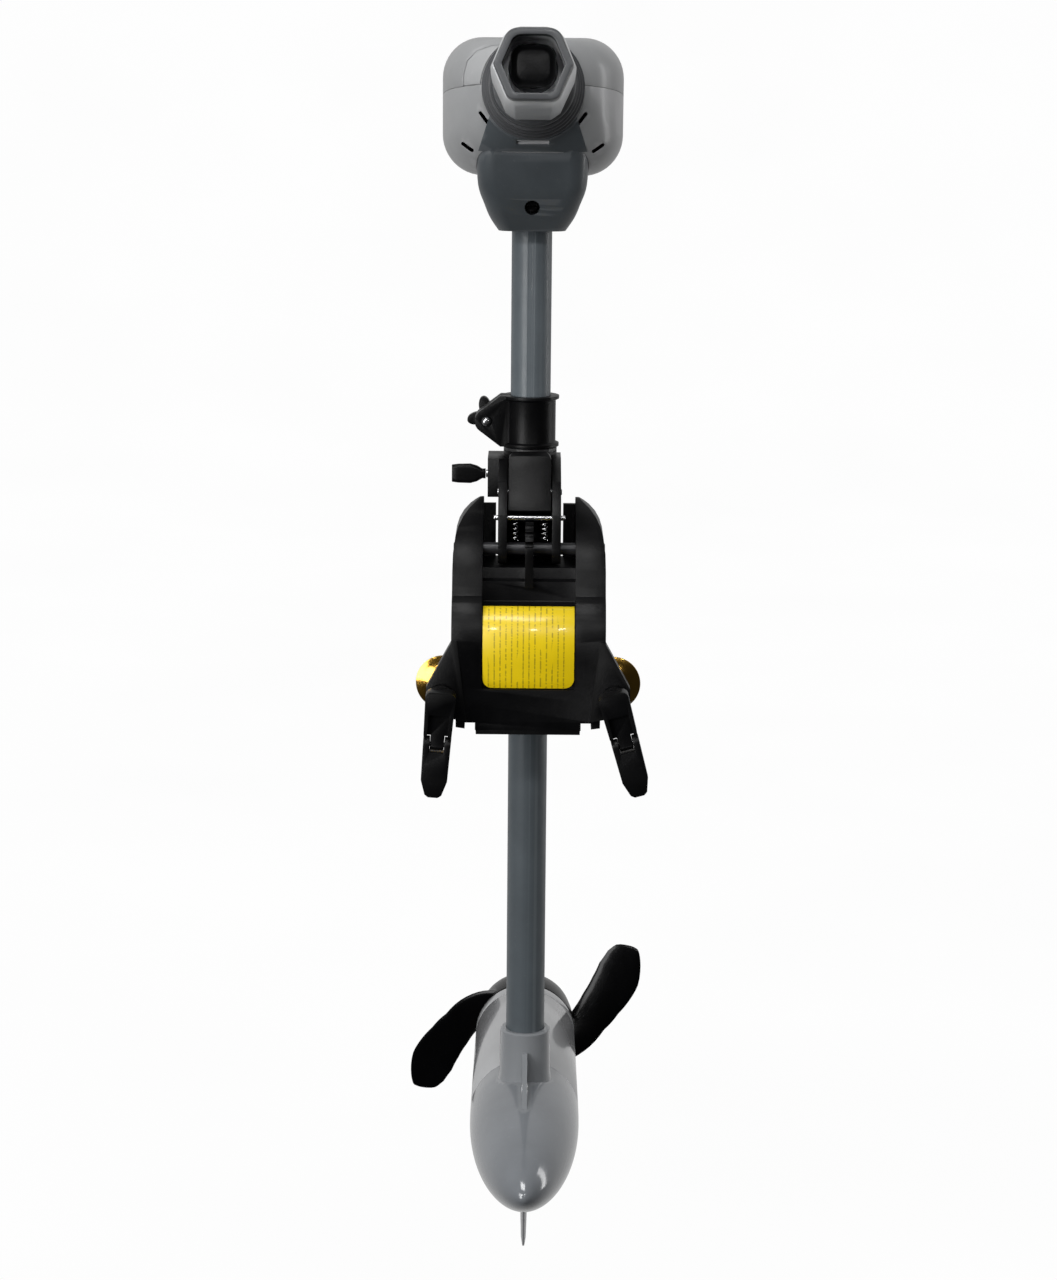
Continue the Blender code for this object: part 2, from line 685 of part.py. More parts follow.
def lock_pin():
    pin = rod("lock_pin", at(-0.0262, LOCK_AHEAD, LOCK_DROP), at(0.0262, LOCK_AHEAD, LOCK_DROP), 0.0019, 16, 0.0004)
    return finish(pin, STEEL, 0.25, 1.0, origin=at(0, LOCK_AHEAD, LOCK_DROP))


def lock_spring(name, x):
    """A coil spring between the lock pin and the pivot rod."""
    turns, per_turn, sides = 4, 8, 5
    top, bottom = LOCK_DROP + 0.0033, PIVOT_DROP - 0.0062
    coil, wire = 0.0024, 0.00048
    count = turns * per_turn
    rings = []
    for i in range(count + 1):
        angle = 2 * math.pi * i / per_turn
        radial = Vector((math.cos(angle), math.sin(angle), 0))
        centre = at(x, LOCK_AHEAD, bottom + (top - bottom) * i / count) + radial * coil
        ring = []
        for k in range(sides):
            phi = 2 * math.pi * k / sides
            ring.append(centre + (radial * math.cos(phi) + UP * math.sin(phi)) * wire)
        rings.append(ring)
    return finish(loft(name, rings), STEEL, 0.3, 1.0)


# --------------------------------------------------------------------- bracket

RAIL_TOP = (
    (0.0265, 0.3370), (0.0330, 0.3340), (0.0460, 0.3395), (0.0580, 0.3460), (0.0700, 0.3545),
    (0.0800, 0.3640), (0.0880, 0.3760), (0.0940, 0.3890), (0.0980, 0.3965),
)
RAIL_ROLL = (
    (0.1035, 0.4000), (0.1090, 0.4070), (0.1135, 0.4165), (0.1158, 0.4270), (0.1160, 0.4380),
    (0.1152, 0.4500), (0.1148, 0.4620),
)
LABEL_ROLL = (
    (0.0870, 0.4030), (0.0960, 0.4034), (0.1030, 0.4066), (0.1086, 0.4122), (0.1122, 0.4198),
    (0.1140, 0.4284), (0.1141, 0.4385), (0.1126, 0.4500), (0.1110, 0.4620),
)


def bracket_outline():
    """Half of the front view outline, from the top down, as (half width, drop)."""
    half = [(0.0300, 0.3320), (0.0370, 0.3345), (0.0443, 0.3400), (0.0490, 0.3452), (0.0523, 0.3510)]
    half += [(0.0543, 0.3575), (0.0557, 0.3680), (RAIL_OUT, 0.3800), (RAIL_OUT, 0.4400), (0.0530, 0.4640)]
    half += [(0.0525, 0.4905), (0.0380, 0.4925), (0.0370, 0.5200)]
    return half


def transom_bracket():
    profile = list(RAIL_TOP) + list(RAIL_ROLL)
    profile += [(0.1150, 0.4720), (0.1165, 0.4955), (POCKET_FRONT, 0.4955), (POCKET_FRONT, SEAT_DROP)]
    profile += [(POCKET_AFT, SEAT_DROP), (POCKET_AFT, LEG_BOTTOM), (LEG_AFT, LEG_BOTTOM), (0.0265, 0.4700)]
    bracket = side_prism("transom_bracket", profile, -RAIL_OUT - 0.002, RAIL_OUT + 0.002)
    half = bracket_outline()
    outline = [(-x, drop) for x, drop in half] + [(x, drop) for x, drop in reversed(half)]
    keep(bracket, front_prism("outline", outline, 0.0, 0.15))
    for side in (-1, 1):
        wing = [(side * 0.0520, 0.4260), (side * 0.0560, 0.4280), (side * 0.0740, 0.4610)]
        wing += [(side * 0.0745, 0.4760), (side * 0.0680, 0.4820), (side * 0.0450, 0.4860)]
        add(bracket, front_prism("wing", wing, POCKET_FRONT, 0.1165))
        boss = rod("boss", at(side * CLAMP_X, POCKET_FRONT, CLAMP_DROP), at(side * CLAMP_X, 0.1240, CLAMP_DROP), 0.0100, 16)
        add(bracket, boss)
    floor = [(-0.010, 0.2900), (0.160, 0.2900), (0.160, 0.4625), (0.1110, 0.4625)]
    floor += list(reversed(LABEL_ROLL)) + [(0.0862, 0.4022), (0.0862, 0.3880), (0.0800, 0.3868)]
    floor += [(0.0795, 0.3790), (0.0310, 0.3790), (0.0300, 0.3860), (-0.010, 0.3860)]
    cut(bracket, side_prism("recess", floor, -RAIL_IN, RAIL_IN))
    for side in (-1, 1):
        inner, outer = sorted((side * FLANGE_IN, side * (RAIL_IN + 0.002)))
        add(bracket, block("flange", inner, outer, 0.0300, 0.0350, 0.3390, 0.3900))
    sector = arc(PIVOT_AHEAD, PIVOT_DROP, SECTOR_R, 180, 370, 18)
    sector += [(0.0905, 0.3920), (0.0520, 0.3920)]
    add(bracket, side_prism("sector", sector, -0.0030, 0.0030))
    for step in range(4):
        angle = math.radians(-90 + 24 * step)
        centre = (PIVOT_AHEAD + SECTOR_R * math.cos(angle), PIVOT_DROP + SECTOR_R * math.sin(angle))
        cut(bracket, rod("notch", at(-0.01, *centre), at(0.01, *centre), 0.0024, 14))
    cut(bracket, rod("pivot", at(-0.07, PIVOT_AHEAD, PIVOT_DROP), at(0.07, PIVOT_AHEAD, PIVOT_DROP), PIVOT_R + GAP, 16))
    for side in (-1, 1):
        inner, outer = sorted((side * 0.0385, side * 0.0460))
        cut(bracket, block("notch", inner, outer, 0.100, 0.130, 0.4870, 0.510))
        cut(bracket, rod("thread", at(side * CLAMP_X, 0.09, CLAMP_DROP), at(side * CLAMP_X, 0.13, CLAMP_DROP), SCREW_R + GAP, 16))
    return finish(bracket, BLACK, 0.5, origin=Vector((0, 0, 0)))


def tilt_pivot_rod():
    left = at(-0.0555, PIVOT_AHEAD, PIVOT_DROP)
    bar = rod("tilt_pivot_rod", left, at(0.0555, PIVOT_AHEAD, PIVOT_DROP), PIVOT_R, 16, 0.0008)
    return finish(bar, (0.03, 0.03, 0.032), 0.35)


def label_plate():
    """A blank plate that follows the roll of the hook."""
    skin = []
    path = [Vector(point) for point in ((0.0990, 0.4048),) + LABEL_ROLL[2:]]
    for lift in (0.0004, 0.0013):
        row = []
        for i, point in enumerate(path):
            before = path[max(i - 1, 0)]
            after = path[min(i + 1, len(path) - 1)]
            run = (after - before).normalized()
            row.append(point + Vector((run.y, -run.x)) * lift)
        skin.append(row)
    outline = [tuple(p) for p in skin[0]] + [tuple(p) for p in reversed(skin[1])]
    plate = side_prism("label_plate", outline, -RAIL_IN + 0.0008, RAIL_IN - 0.0008)
    face = rounded(-RAIL_IN + 0.0008, RAIL_IN - 0.0008, 0.37, 0.4618, 0.0070, 5)
    keep(plate, front_prism("outline", face, 0.05, 0.13))
    return finish(plate, YELLOW, 0.22)


# ---------------------------------------------------------------------- clamps


def turn_about(obj, centre, axis, degrees):
    spin = Matrix.Rotation(math.radians(degrees), 4, Vector(axis))
    obj.data.transform(Matrix.Translation(centre) @ spin @ Matrix.Translation(-centre))
    return obj


def clamp_screw(tag, x):
    profile = [(0.0, 0.0), (0.0032, 0.0), (0.0032, 0.0045), (SCREW_R - 0.0006, 0.0055), (SCREW_R, 0.0068)]
    profile += [(SCREW_R, 0.0580), (0.0044, 0.0590), (0.0044, 0.0760), (0.0, 0.0760)]
    screw = turned(f"clamp_screw_{tag}", profile, at(x, PAD_FACE + 0.003, CLAMP_DROP), FORWARD, 16)
    return finish(screw, STEEL, 0.35, 1.0, origin=at(x, PAD_FACE + 0.003, CLAMP_DROP))


def clamp_pad(tag, x):
    """A dished steel foot on the end of the clamp screw."""
    profile = [(0.0, 0.0), (PAD_R - 0.0006, 0.0), (PAD_R, 0.0006), (PAD_R, 0.0020), (0.0165, 0.0026)]
    profile += [(0.0115, 0.0048), (0.0065, 0.0070), (0.0035, 0.0070), (0.0035, 0.0027), (0.0, 0.0027)]
    pad = turned(f"clamp_pad_{tag}", profile, at(x, PAD_FACE, CLAMP_DROP), FORWARD, 22)
    return finish(pad, BRASS, 0.25, 1.0, origin=at(x, PAD_FACE, CLAMP_DROP))


def handle_half(down):
    """Half width of the handle at a distance below the screw axis."""
    if down < 0.055:
        return 0.0105 - 0.0010 * max(down, 0.0) / 0.055
    return 0.0095 - 0.0040 * (down - 0.055) / (HANDLE_END - 0.055)


def clamp_hub(tag, x, splay):
    centre = at(x, 0, CLAMP_DROP)
    outline = [(x + dx, CLAMP_DROP + dd) for dx, dd in arc(-0.0064, -0.0060, 0.0045, 180, 270, 4)]
    outline += [(x + dx, CLAMP_DROP + dd) for dx, dd in arc(0.0064, -0.0060, 0.0045, 270, 360, 4)]
    low = HINGE_DOWN - 0.0075
    outline += [(x + handle_half(low), CLAMP_DROP + low), (x - handle_half(low), CLAMP_DROP + low)]
    hub = front_prism(f"clamp_hub_{tag}", outline, HUB_BACK, HUB_FRONT)
    lug = rod("lug", at(x - 0.0050, 0.1410, CLAMP_DROP + HINGE_DOWN), at(x + 0.0050, 0.1410, CLAMP_DROP + HINGE_DOWN), 0.0042, 20)
    add(hub, lug)
    add(hub, block("web", x - 0.0050, x + 0.0050, 0.1370, 0.1450, CLAMP_DROP + low - 0.002, CLAMP_DROP + HINGE_DOWN))
    ramp = [(0.1440, CLAMP_DROP + 0.0070), (0.1500, CLAMP_DROP + 0.0060), (0.1500, CLAMP_DROP + 0.0300), (0.1450, CLAMP_DROP + 0.0300)]
    cut(hub, side_prism("scoop", ramp, x - 0.0075, x + 0.0075))
    cut(hub, rod("socket", at(x, 0.130, CLAMP_DROP), at(x, 0.1475, CLAMP_DROP), 0.0047, 20))
    cut(hub, rod("hole", at(x - 0.02, 0.1410, CLAMP_DROP + HINGE_DOWN), at(x + 0.02, 0.1410, CLAMP_DROP + HINGE_DOWN), 0.0021, 14))
    turn_about(hub, centre, (0, 1, 0), splay)
    return finish(hub, BLACK, 0.4, origin=at(x, HUB_BACK, CLAMP_DROP))


def clamp_paddle(tag, x, splay):
    centre = at(x, 0, CLAMP_DROP)
    start = HINGE_DOWN - 0.0070
    rows = (start, HINGE_DOWN + 0.006, 0.045, 0.055, 0.062, HANDLE_END - 0.002, HANDLE_END)
    right = [(x + handle_half(d) - (0.002 if d == HANDLE_END else 0), CLAMP_DROP + d) for d in rows]
    left = [(2 * x - px, pd) for px, pd in reversed(right)]
    paddle = front_prism(f"clamp_paddle_{tag}", right + left, 0.1350, 0.1470)
    side = arc(0.1410, CLAMP_DROP + HINGE_DOWN, 0.0060, 180, 360, 10)
    side += [(0.1470, CLAMP_DROP + 0.0550), (0.1450, CLAMP_DROP + HANDLE_END + 0.001)]
    side += [(0.1400, CLAMP_DROP + HANDLE_END + 0.001), (0.1365, CLAMP_DROP + 0.0450)]
    keep(paddle, side_prism("side", side, x - 0.03, x + 0.03))
    cut(paddle, block("fork", x - 0.0053, x + 0.0053, 0.130, 0.152, CLAMP_DROP + HINGE_DOWN - 0.010, CLAMP_DROP + HINGE_DOWN + 0.0052))
    cut(paddle, rod("hole", at(x - 0.02, 0.1410, CLAMP_DROP + HINGE_DOWN), at(x + 0.02, 0.1410, CLAMP_DROP + HINGE_DOWN), 0.0021, 14))
    turn_about(paddle, centre, (0, 1, 0), splay)
    hinge = at(x, 0.1410, CLAMP_DROP + HINGE_DOWN)
    spin = Matrix.Rotation(math.radians(splay), 4, Vector((0, 1, 0)))
    hinge = Matrix.Translation(centre) @ spin @ Matrix.Translation(-centre) @ hinge
    return finish(paddle, BLACK, 0.4, origin=hinge)


def clamp_hinge_pin(tag, x, splay):
    hinge_drop = CLAMP_DROP + HINGE_DOWN
    pin = rod(f"clamp_hinge_pin_{tag}", at(x - 0.0088, 0.1410, hinge_drop), at(x + 0.0088, 0.1410, hinge_drop), 0.0018, 12)
    turn_about(pin, at(x, 0, CLAMP_DROP), (0, 1, 0), splay)
    return finish(pin, STEEL, 0.3, 1.0)


# ------------------------------------------------------------------------- pod


def nose_radius(ahead, shrink=0.0):
    reach = NOSE_TIP - NOSE_START
    u = min(max((ahead - NOSE_START) / reach, 0.0), 1.0)
    return (POD_R - shrink) * max(1 - u**NOSE_POWER, 0.0) ** (1 / NOSE_ROOT)


def nose_profile(grow=0.0):
    stations = [POD_SEAM, NOSE_START, 0.018, 0.045, 0.070, 0.092, 0.110, 0.125, 0.137, 0.1445]
    profile = [(0.0, POD_SEAM)] + [(nose_radius(a) + grow, a) for a in stations]
    return profile + [(0.0, NOSE_TIP + grow)]


def nose_housing():
    centre = at(0, 0, POD_DROP)
    body = turned("nose_housing", nose_profile(), centre, FORWARD, 30)
    socket = [(SOCKET_R - 0.0015, 0), (SOCKET_R, 0.0012), (SOCKET_R + 0.0005, 0.036), (SOCKET_R + 0.0025, 0.050), (0.012, 0.058)]
    add(body, turned("socket", [(0, 0)] + socket + [(0, 0.058)], at(0, 0, SOCKET_TOP), -UP, 24))
    fin = [(0.010, 0.7790), (0.0215, 0.7790), (0.0280, 0.7830), (0.0640, 0.8075), (0.0640, 0.8200), (0.0100, 0.8200)]
    add(body, side_prism("fin", fin, -0.0019, 0.0019))
    cavity = [(0.0, POD_SEAM - 0.01), (0.0385, POD_SEAM - 0.01), (0.0385, 0.012), (0.0300, 0.026), (0.0, 0.026)]
    cut(body, turned("cavity", cavity, centre, FORWARD, 16))
    boss = turned("boss", [(0.0092, 0.0), (0.0135, 0.0), (0.0150, 0.022), (0.0092, 0.022)], at(0, 0.006, POD_DROP), FORWARD, 16, True)
    add(body, boss)
    hollow = [(0.0, 0.0310), (0.0330, 0.0310), (0.0330, 0.0500), (0.0250, 0.0850), (0.0140, 0.1100), (0.0, 0.1180)]
    cut(body, turned("hollow", hollow, centre, FORWARD, 16))
    cut(body, rod("vent", at(0, 0.020, POD_DROP), at(0, 0.035, POD_DROP), 0.0040, 10))
    cut(body, rod("bore", at(0, 0, 0.75), at(0, 0, 0.815), TUBE_R + GAP, 28))
    return finish(body, NOSE_GREY, 0.18)


def motor_can():
    profile = [(0.0403, 0.0), (POD_R, 0.0), (REAR_R, CAN_BACK - POD_SEAM), (0.0403, CAN_BACK - POD_SEAM)]
    can = turned("motor_can", profile, at(0, POD_SEAM - GAP, POD_DROP), FORWARD, 30, True)
    return finish(can, POD_GREY, 0.2)


def rear_bell():
    """The end cap, with a bearing seat inside and a seal seat outside."""
    start = at(0, CAN_BACK - 2 * GAP, POD_DROP)
    depth = CAN_BACK - BELL_BACK - GAP
    bore = MOTOR_SHAFT_R + GAP
    profile = [(0.0113, -0.008), (0.0397, -0.008), (0.0397, -0.0002), (REAR_R, 0.0)]
    profile += [(REAR_R, depth - 0.0015), (REAR_R - 0.0015, depth), (0.0093, depth)]
    profile += [(0.0093, 0.0084), (bore, 0.0084), (bore, 0.0039), (0.0113, 0.0039)]
    bell = turned("rear_bell", profile, start, -FORWARD, 24, True)
    for side in (-1, 1):
        hole = [(0.0, -0.02), (0.0024, -0.02), (0.0024, 0.0104), (0.0044, 0.0104), (0.0044, 0.03), (0.0, 0.03)]
        cut(bell, turned("hole", hole, start + RIGHT * side * BOLT_CIRCLE_R, -FORWARD, 16))
    return finish(bell, POD_GREY, 0.25)


def through_bolt(name, side):
    spot = RIGHT * side * BOLT_CIRCLE_R
    bolt = rod(name, at(0, -0.2048, POD_DROP) + spot, at(0, -0.2014, POD_DROP) + spot, 0.0040, 16, 0.0006)
    add(bolt, rod("stem", at(0, -0.203, POD_DROP) + spot, at(0, -0.030, POD_DROP) + spot, 0.0020, 10))
    return finish(bolt, STEEL, 0.35, 1.0)


def skeg():
    rings = []
    for drop, front, back, half in ((0.8800, 0.0390, -0.1120, 0.0030), (0.9000, 0.0270, -0.1080, 0.0029),
                                    (0.9300, 0.0095, -0.0980, 0.0024), (0.9500, -0.0020, -0.0900, 0.0020),
                                    (SKEG_DROP, -0.0080, -0.0860, 0.0016)):
        outline = [(half, back + 0.010), (half, front - 0.012), (0.0008, front), (-0.0008, front)]
        outline += [(-half, front - 0.012), (-half, back + 0.010), (-0.0008, back), (0.0008, back)]
        rings.append([at(x, ahead, drop) for x, ahead in outline])
    fin = loft("skeg", rings)
    pod = [(0.0, -0.15)] + [(POD_R + GAP, -0.15)] + nose_profile(GAP)[1:]
    cut(fin, turned("pod", pod, at(0, 0, POD_DROP), FORWARD, 30))
    return finish(fin, (0.30, 0.305, 0.31), 0.35)


def magnet(name, start):
    outer = arc(0, 0, 0.0398, start, start + 140, 12)
    inner = arc(0, 0, 0.0333, start + 140, start, 12)
    rings = []
    for ahead in (-0.140, -0.045):
        rings.append([at(x, ahead, POD_DROP - z) for x, z in outer + inner])
    return finish(loft(name, rings), (0.05, 0.05, 0.055), 0.6)


def armature():
    stack = turned("armature", [(0.0053, 0), (0.0323, 0), (0.0323, 0.074), (0.0053, 0.074)], at(0, -0.128, POD_DROP), FORWARD, 20, True)
    for i in range(5):
        angle = 2 * math.pi * (i + 0.5) / 5
        way = Vector((math.cos(angle), 0, math.sin(angle)))
        centre = at(0, -0.128, POD_DROP) + way * 0.0330
        cut(stack, rod("slot", centre + FORWARD * -0.005, centre + FORWARD * 0.085, 0.0022, 6))
    for start, back in ((-0.1275, 1), (-0.0545, -1)):
        coil = [(0.0053, 0), (0.022, 0), (0.026, 0.004), (0.022, 0.011), (0.0053, 0.012)]
        add(stack, turned("coil", coil, at(0, start, POD_DROP), -FORWARD * back, 12, True))
    return finish(stack, COPPER, 0.5, 0.6)


def commutator():
    ring = tube("commutator", at(0, -0.040, POD_DROP), at(0, -0.021, POD_DROP), 0.0130, 0.0053, 24)
    return finish(ring, COPPER, 0.3, 1.0)


def motor_shaft():
    shaft = rod("motor_shaft", at(0, -0.268, POD_DROP), at(0, 0.016, POD_DROP), MOTOR_SHAFT_R, 18, 0.0006)
    cut(shaft, rod("cross", at(-0.01, -0.236, POD_DROP), at(0.01, -0.236, POD_DROP), 0.0018, 14))
    return finish(shaft, STEEL, 0.3, 1.0, origin=at(0, 0, POD_DROP))


def bearing(name, front, outer):
    ring = tube(name, at(0, front - 0.008, POD_DROP), at(0, front, POD_DROP), outer, MOTOR_SHAFT_R + GAP, 18)
    return finish(ring, STEEL, 0.3, 1.0)


def shaft_seal():
    ring = tube("shaft_seal", at(0, -0.2045, POD_DROP), at(0, -0.1995, POD_DROP), 0.0090, MOTOR_SHAFT_R + GAP, 18)
    return finish(ring, BLACK, 0.7)


def brush(name, side):
    near, far = sorted((side * 0.0135, side * 0.0230))
    return finish(block(name, near, far, -0.035, -0.027, POD_DROP - 0.0045, POD_DROP + 0.0045), (0.04, 0.04, 0.04), 0.7)


BLADE_ROWS = (
    # radius, lower edge and upper edge in degrees
    (0.0390, -58, 8), (0.0460, -46, 16), (0.0560, -28, 25), (0.0694, -6, 32.5),
    (0.0823, 5, 38), (0.0950, 12.5, 40.5), (0.1050, 18.4, 40.5), (PROP_R, 27, 38),
)
TIP_START = 0.1010


def blade_edges(radius):
    """Lower and upper edge angles of the swept blade, in degrees."""
    for low, high in zip(BLADE_ROWS, BLADE_ROWS[1:]):
        if radius <= high[0]:
            break
    share = (radius - low[0]) / (high[0] - low[0])
    return low[1] + (high[1] - low[1]) * share, low[2] + (high[2] - low[2]) * share


def blade(name, turn):
    rings = []
    radii = (0.0390, 0.046, 0.056, 0.069, 0.083, 0.095, 0.103, 0.109, 0.1135, 0.1160, PROP_R)
    middle = (PROP_FRONT + PROP_BACK) / 2
    for radius in radii:
        leading, trailing = blade_edges(radius)
        span = (radius - 0.046) / (PROP_R - 0.046)
        thick = 0.0026 - 0.0014 * max(span, 0.0)
        if radius > TIP_START:
            pinch = math.sqrt(max(1 - ((radius - TIP_START) / (PROP_R - TIP_START)) ** 2, 0.02))
            centre = (leading + trailing) / 2
            leading = centre + (leading - centre) * pinch
            trailing = centre + (trailing - centre) * pinch
        ring = []
        for face in (1, -1):
            for step in range(6):
                t = step / 5 if face > 0 else 1 - step / 5
                angle = leading + (trailing - leading) * t
                swell = thick * (math.sin(math.pi * t) ** 0.5 if 0 < t < 1 else 0.0) + 0.0004
                along = middle - PROP_PITCH * (angle - 8) / 360 + face * swell
                spin = math.radians(angle + turn)
                ring.append(at(radius * math.cos(spin), along, POD_DROP - radius * math.sin(spin)))
        rings.append(ring)
    return loft(name, rings, strips=True)


def propeller():
    length = PROP_FRONT - PROP_BACK
    bore = MOTOR_SHAFT_R + GAP
    hub = [(bore, 0.0), (0.0120, 0.0), (0.0120, 0.020), (0.0370, 0.014), (0.0370, 0.0)]
    hub += [(PROP_HUB_R - 0.001, 0.0), (PROP_HUB_R, 0.001), (PROP_HUB_R, 0.022)]
    hub += [(0.0405, 0.034), (0.0350, 0.042), (0.0270, length), (0.0140, length)]
    hub += [(0.0140, 0.042), (bore, 0.042)]
    body = turned("propeller", hub, at(0, PROP_FRONT, POD_DROP), -FORWARD, 24, True)
    cut(body, rod("cross", at(-0.0117, -0.236, POD_DROP), at(0.0117, -0.236, POD_DROP), 0.0018, 14))
    for index in range(BLADES):
        add(body, blade("blade", 360 * index / BLADES))
    return finish(body, BLACK, 0.28, origin=at(0, PROP_FRONT, POD_DROP))


def shear_pin():
    pin = rod("shear_pin", at(-0.0114, -0.236, POD_DROP), at(0.0114, -0.236, POD_DROP), 0.0015, 12)
    return finish(pin, STEEL, 0.35, 1.0)


def prop_nut():
    start = at(0, -0.2503, POD_DROP)
    body = turned("prop_nut", [(0.0, 0.0), (0.0110, 0.0), (0.0110, 0.0025), (0.0, 0.0025)], start, -FORWARD, 18)
    hexed = turned("hex", [(0.0, 0.002), (0.0095, 0.002), (0.0095, 0.0120), (0.0080, 0.0135), (0.0, 0.0135)], start, -FORWARD, 6)
    add(body, hexed)
    cut(body, rod("bore", at(0, -0.24, POD_DROP), at(0, -0.28, POD_DROP), MOTOR_SHAFT_R + GAP, 16))
    return finish(body, STEEL, 0.3, 1.0, sharp=25.0)


def build():
    clear()
    head_cover()
    cover_panel()
    head_lower()
    neck()
    neck_screw()
    cord_gland()
    speed_switch()
    tiller_boot()
    tiller_arm()
    extension_tube()
    tiller_grip()
    grip_bezel()
    grip_plug()
    shaft_tube()
    motor_leads()
    depth_collar()
    collar_bolt()
    collar_knob()
    swivel_housing()
    bush("upper_bush", 0.3010, 0.3300, True)
    bush("lower_bush", 0.4560, 0.4825, False)
    tension_knob()
    tension_screw()
    tilt_lever()
    lever_pin()
    lock_pin()
    lock_spring("lock_spring_left", -0.0108)
    lock_spring("lock_spring_right", 0.0108)
    transom_bracket()
    tilt_pivot_rod()
    label_plate()
    for tag, side, splay in (("left", -1, SPLAY_LEFT), ("right", 1, SPLAY_RIGHT)):
        clamp_screw(tag, side * CLAMP_X)
        clamp_pad(tag, side * CLAMP_X)
        clamp_hub(tag, side * CLAMP_X, splay)
        clamp_paddle(tag, side * CLAMP_X, splay)
        clamp_hinge_pin(tag, side * CLAMP_X, splay)
    nose_housing()
    motor_can()
    rear_bell()
    through_bolt("through_bolt_left", -1)
    through_bolt("through_bolt_right", 1)
    skeg()
    magnet("magnet_upper", 20)
    magnet("magnet_lower", 200)
    armature()
    commutator()
    motor_shaft()
    bearing("front_bearing", 0.0145, 0.0089)
    bearing("rear_bearing", -0.1860, 0.0110)
    shaft_seal()
    brush("brush_left", -1)
    brush("brush_right", 1)
    propeller()
    shear_pin()
    prop_nut()


build()
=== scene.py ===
"""The looks of the trolling motor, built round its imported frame.

The pieces are finer copies of the CAD shapes, in metres, +Z up, with the tiller pointing along -Y.
Places are given as (x, ahead of the shaft axis, drop below the top of the head).
"""

import json
import math

import bmesh
import bpy
from mathutils import Matrix, Vector

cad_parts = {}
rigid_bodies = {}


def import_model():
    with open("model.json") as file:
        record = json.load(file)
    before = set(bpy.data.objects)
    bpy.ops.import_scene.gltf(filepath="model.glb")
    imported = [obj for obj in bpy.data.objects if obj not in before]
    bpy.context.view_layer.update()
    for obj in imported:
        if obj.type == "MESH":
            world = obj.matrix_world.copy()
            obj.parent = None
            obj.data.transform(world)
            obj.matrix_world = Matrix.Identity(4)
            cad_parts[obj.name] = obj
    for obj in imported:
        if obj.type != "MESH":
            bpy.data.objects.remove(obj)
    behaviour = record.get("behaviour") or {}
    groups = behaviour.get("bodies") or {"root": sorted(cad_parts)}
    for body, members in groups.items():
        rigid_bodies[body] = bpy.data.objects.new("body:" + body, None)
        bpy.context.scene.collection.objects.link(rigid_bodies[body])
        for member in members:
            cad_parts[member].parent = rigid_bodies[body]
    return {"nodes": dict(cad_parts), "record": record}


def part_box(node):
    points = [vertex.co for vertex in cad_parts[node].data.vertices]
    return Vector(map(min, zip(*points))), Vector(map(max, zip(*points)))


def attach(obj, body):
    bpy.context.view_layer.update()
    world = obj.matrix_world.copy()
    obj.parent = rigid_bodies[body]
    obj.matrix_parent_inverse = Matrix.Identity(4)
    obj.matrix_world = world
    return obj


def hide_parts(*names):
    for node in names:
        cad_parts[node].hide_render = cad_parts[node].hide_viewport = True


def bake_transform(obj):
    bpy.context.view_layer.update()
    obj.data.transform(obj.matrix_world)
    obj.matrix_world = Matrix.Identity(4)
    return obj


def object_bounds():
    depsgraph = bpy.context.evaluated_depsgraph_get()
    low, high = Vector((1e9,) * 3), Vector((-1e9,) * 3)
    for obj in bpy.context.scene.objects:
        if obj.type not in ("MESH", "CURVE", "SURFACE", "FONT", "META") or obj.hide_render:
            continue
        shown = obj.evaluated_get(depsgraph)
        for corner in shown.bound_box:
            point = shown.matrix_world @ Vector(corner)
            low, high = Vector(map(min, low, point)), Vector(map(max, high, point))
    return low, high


for start_object in list(bpy.data.objects):
    bpy.data.objects.remove(start_object, do_unlink=True)

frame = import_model()
CAD_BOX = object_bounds()
RECORD = frame["record"]
SLOT_OF = {part["node"]: part["material_slot"] for part in RECORD["subparts"]}
BODY_OF = {node: body for body, nodes in RECORD["behaviour"]["bodies"].items() for node in nodes}

# Frame
FINE = 3
HEX_STEPS = 6
SHAFT_Y = (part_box("shaft_tube")[0].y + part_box("shaft_tube")[1].y) / 2
HEAD_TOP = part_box("head_cover")[1].z
GAP = 0.0003
EDGE_BEVEL = 0.0004
SHARP_ANGLE = 24.0
UP = Vector((0, 0, 1))
FORWARD = Vector((0, -1, 0))
RIGHT = Vector((1, 0, 0))

# Shaft tube
TUBE_R = 0.015
TUBE_BORE = 0.0125
TUBE_TOP = 0.0425
TUBE_LENGTH = 0.762

# Control head
HEAD_WALL = 0.003
SEAM_DROP = 0.0442
SEAM_RISE = 0.135
HEAD_STATIONS = (
    # ahead, half width, top, bottom, corner radius
    (-0.08, 0.036, 0.024, 0.078, 0.016),
    (-0.074, 0.052, 0.012, 0.088, 0.024),
    (-0.06, 0.062, 0.004, 0.095, 0.029),
    (-0.035, 0.0655, 0.0005, 0.098, 0.029),
    (0.005, 0.066, 0.0, 0.0985, 0.029),
    (0.035, 0.0645, 0.0, 0.0975, 0.029),
    (0.058, 0.059, 0.0002, 0.092, 0.028),
    (0.074, 0.05, 0.0004, 0.0825, 0.029),
    (0.083, 0.0415, 0.0004, 0.074, 0.032),
    (0.0875, 0.0365, 0.0006, 0.07, 0.0335),
)
NECK_STATIONS = (
    # drop, half width, front, back, corner radius
    (0.062, 0.0375, 0.072, -0.046, 0.014),
    (0.0775, 0.0397, 0.0775, -0.048, 0.014),
    (0.103, 0.0392, 0.069, -0.045, 0.014),
    (0.118, 0.0345, 0.06, -0.04, 0.013),
    (0.128, 0.0305, 0.051, -0.034, 0.012),
    (0.1375, 0.0245, 0.041, -0.028, 0.01),
)
NECK_SCREW_DROP = 0.1195
NECK_HOLE_R = 0.0055
PILOT_R = 0.0028
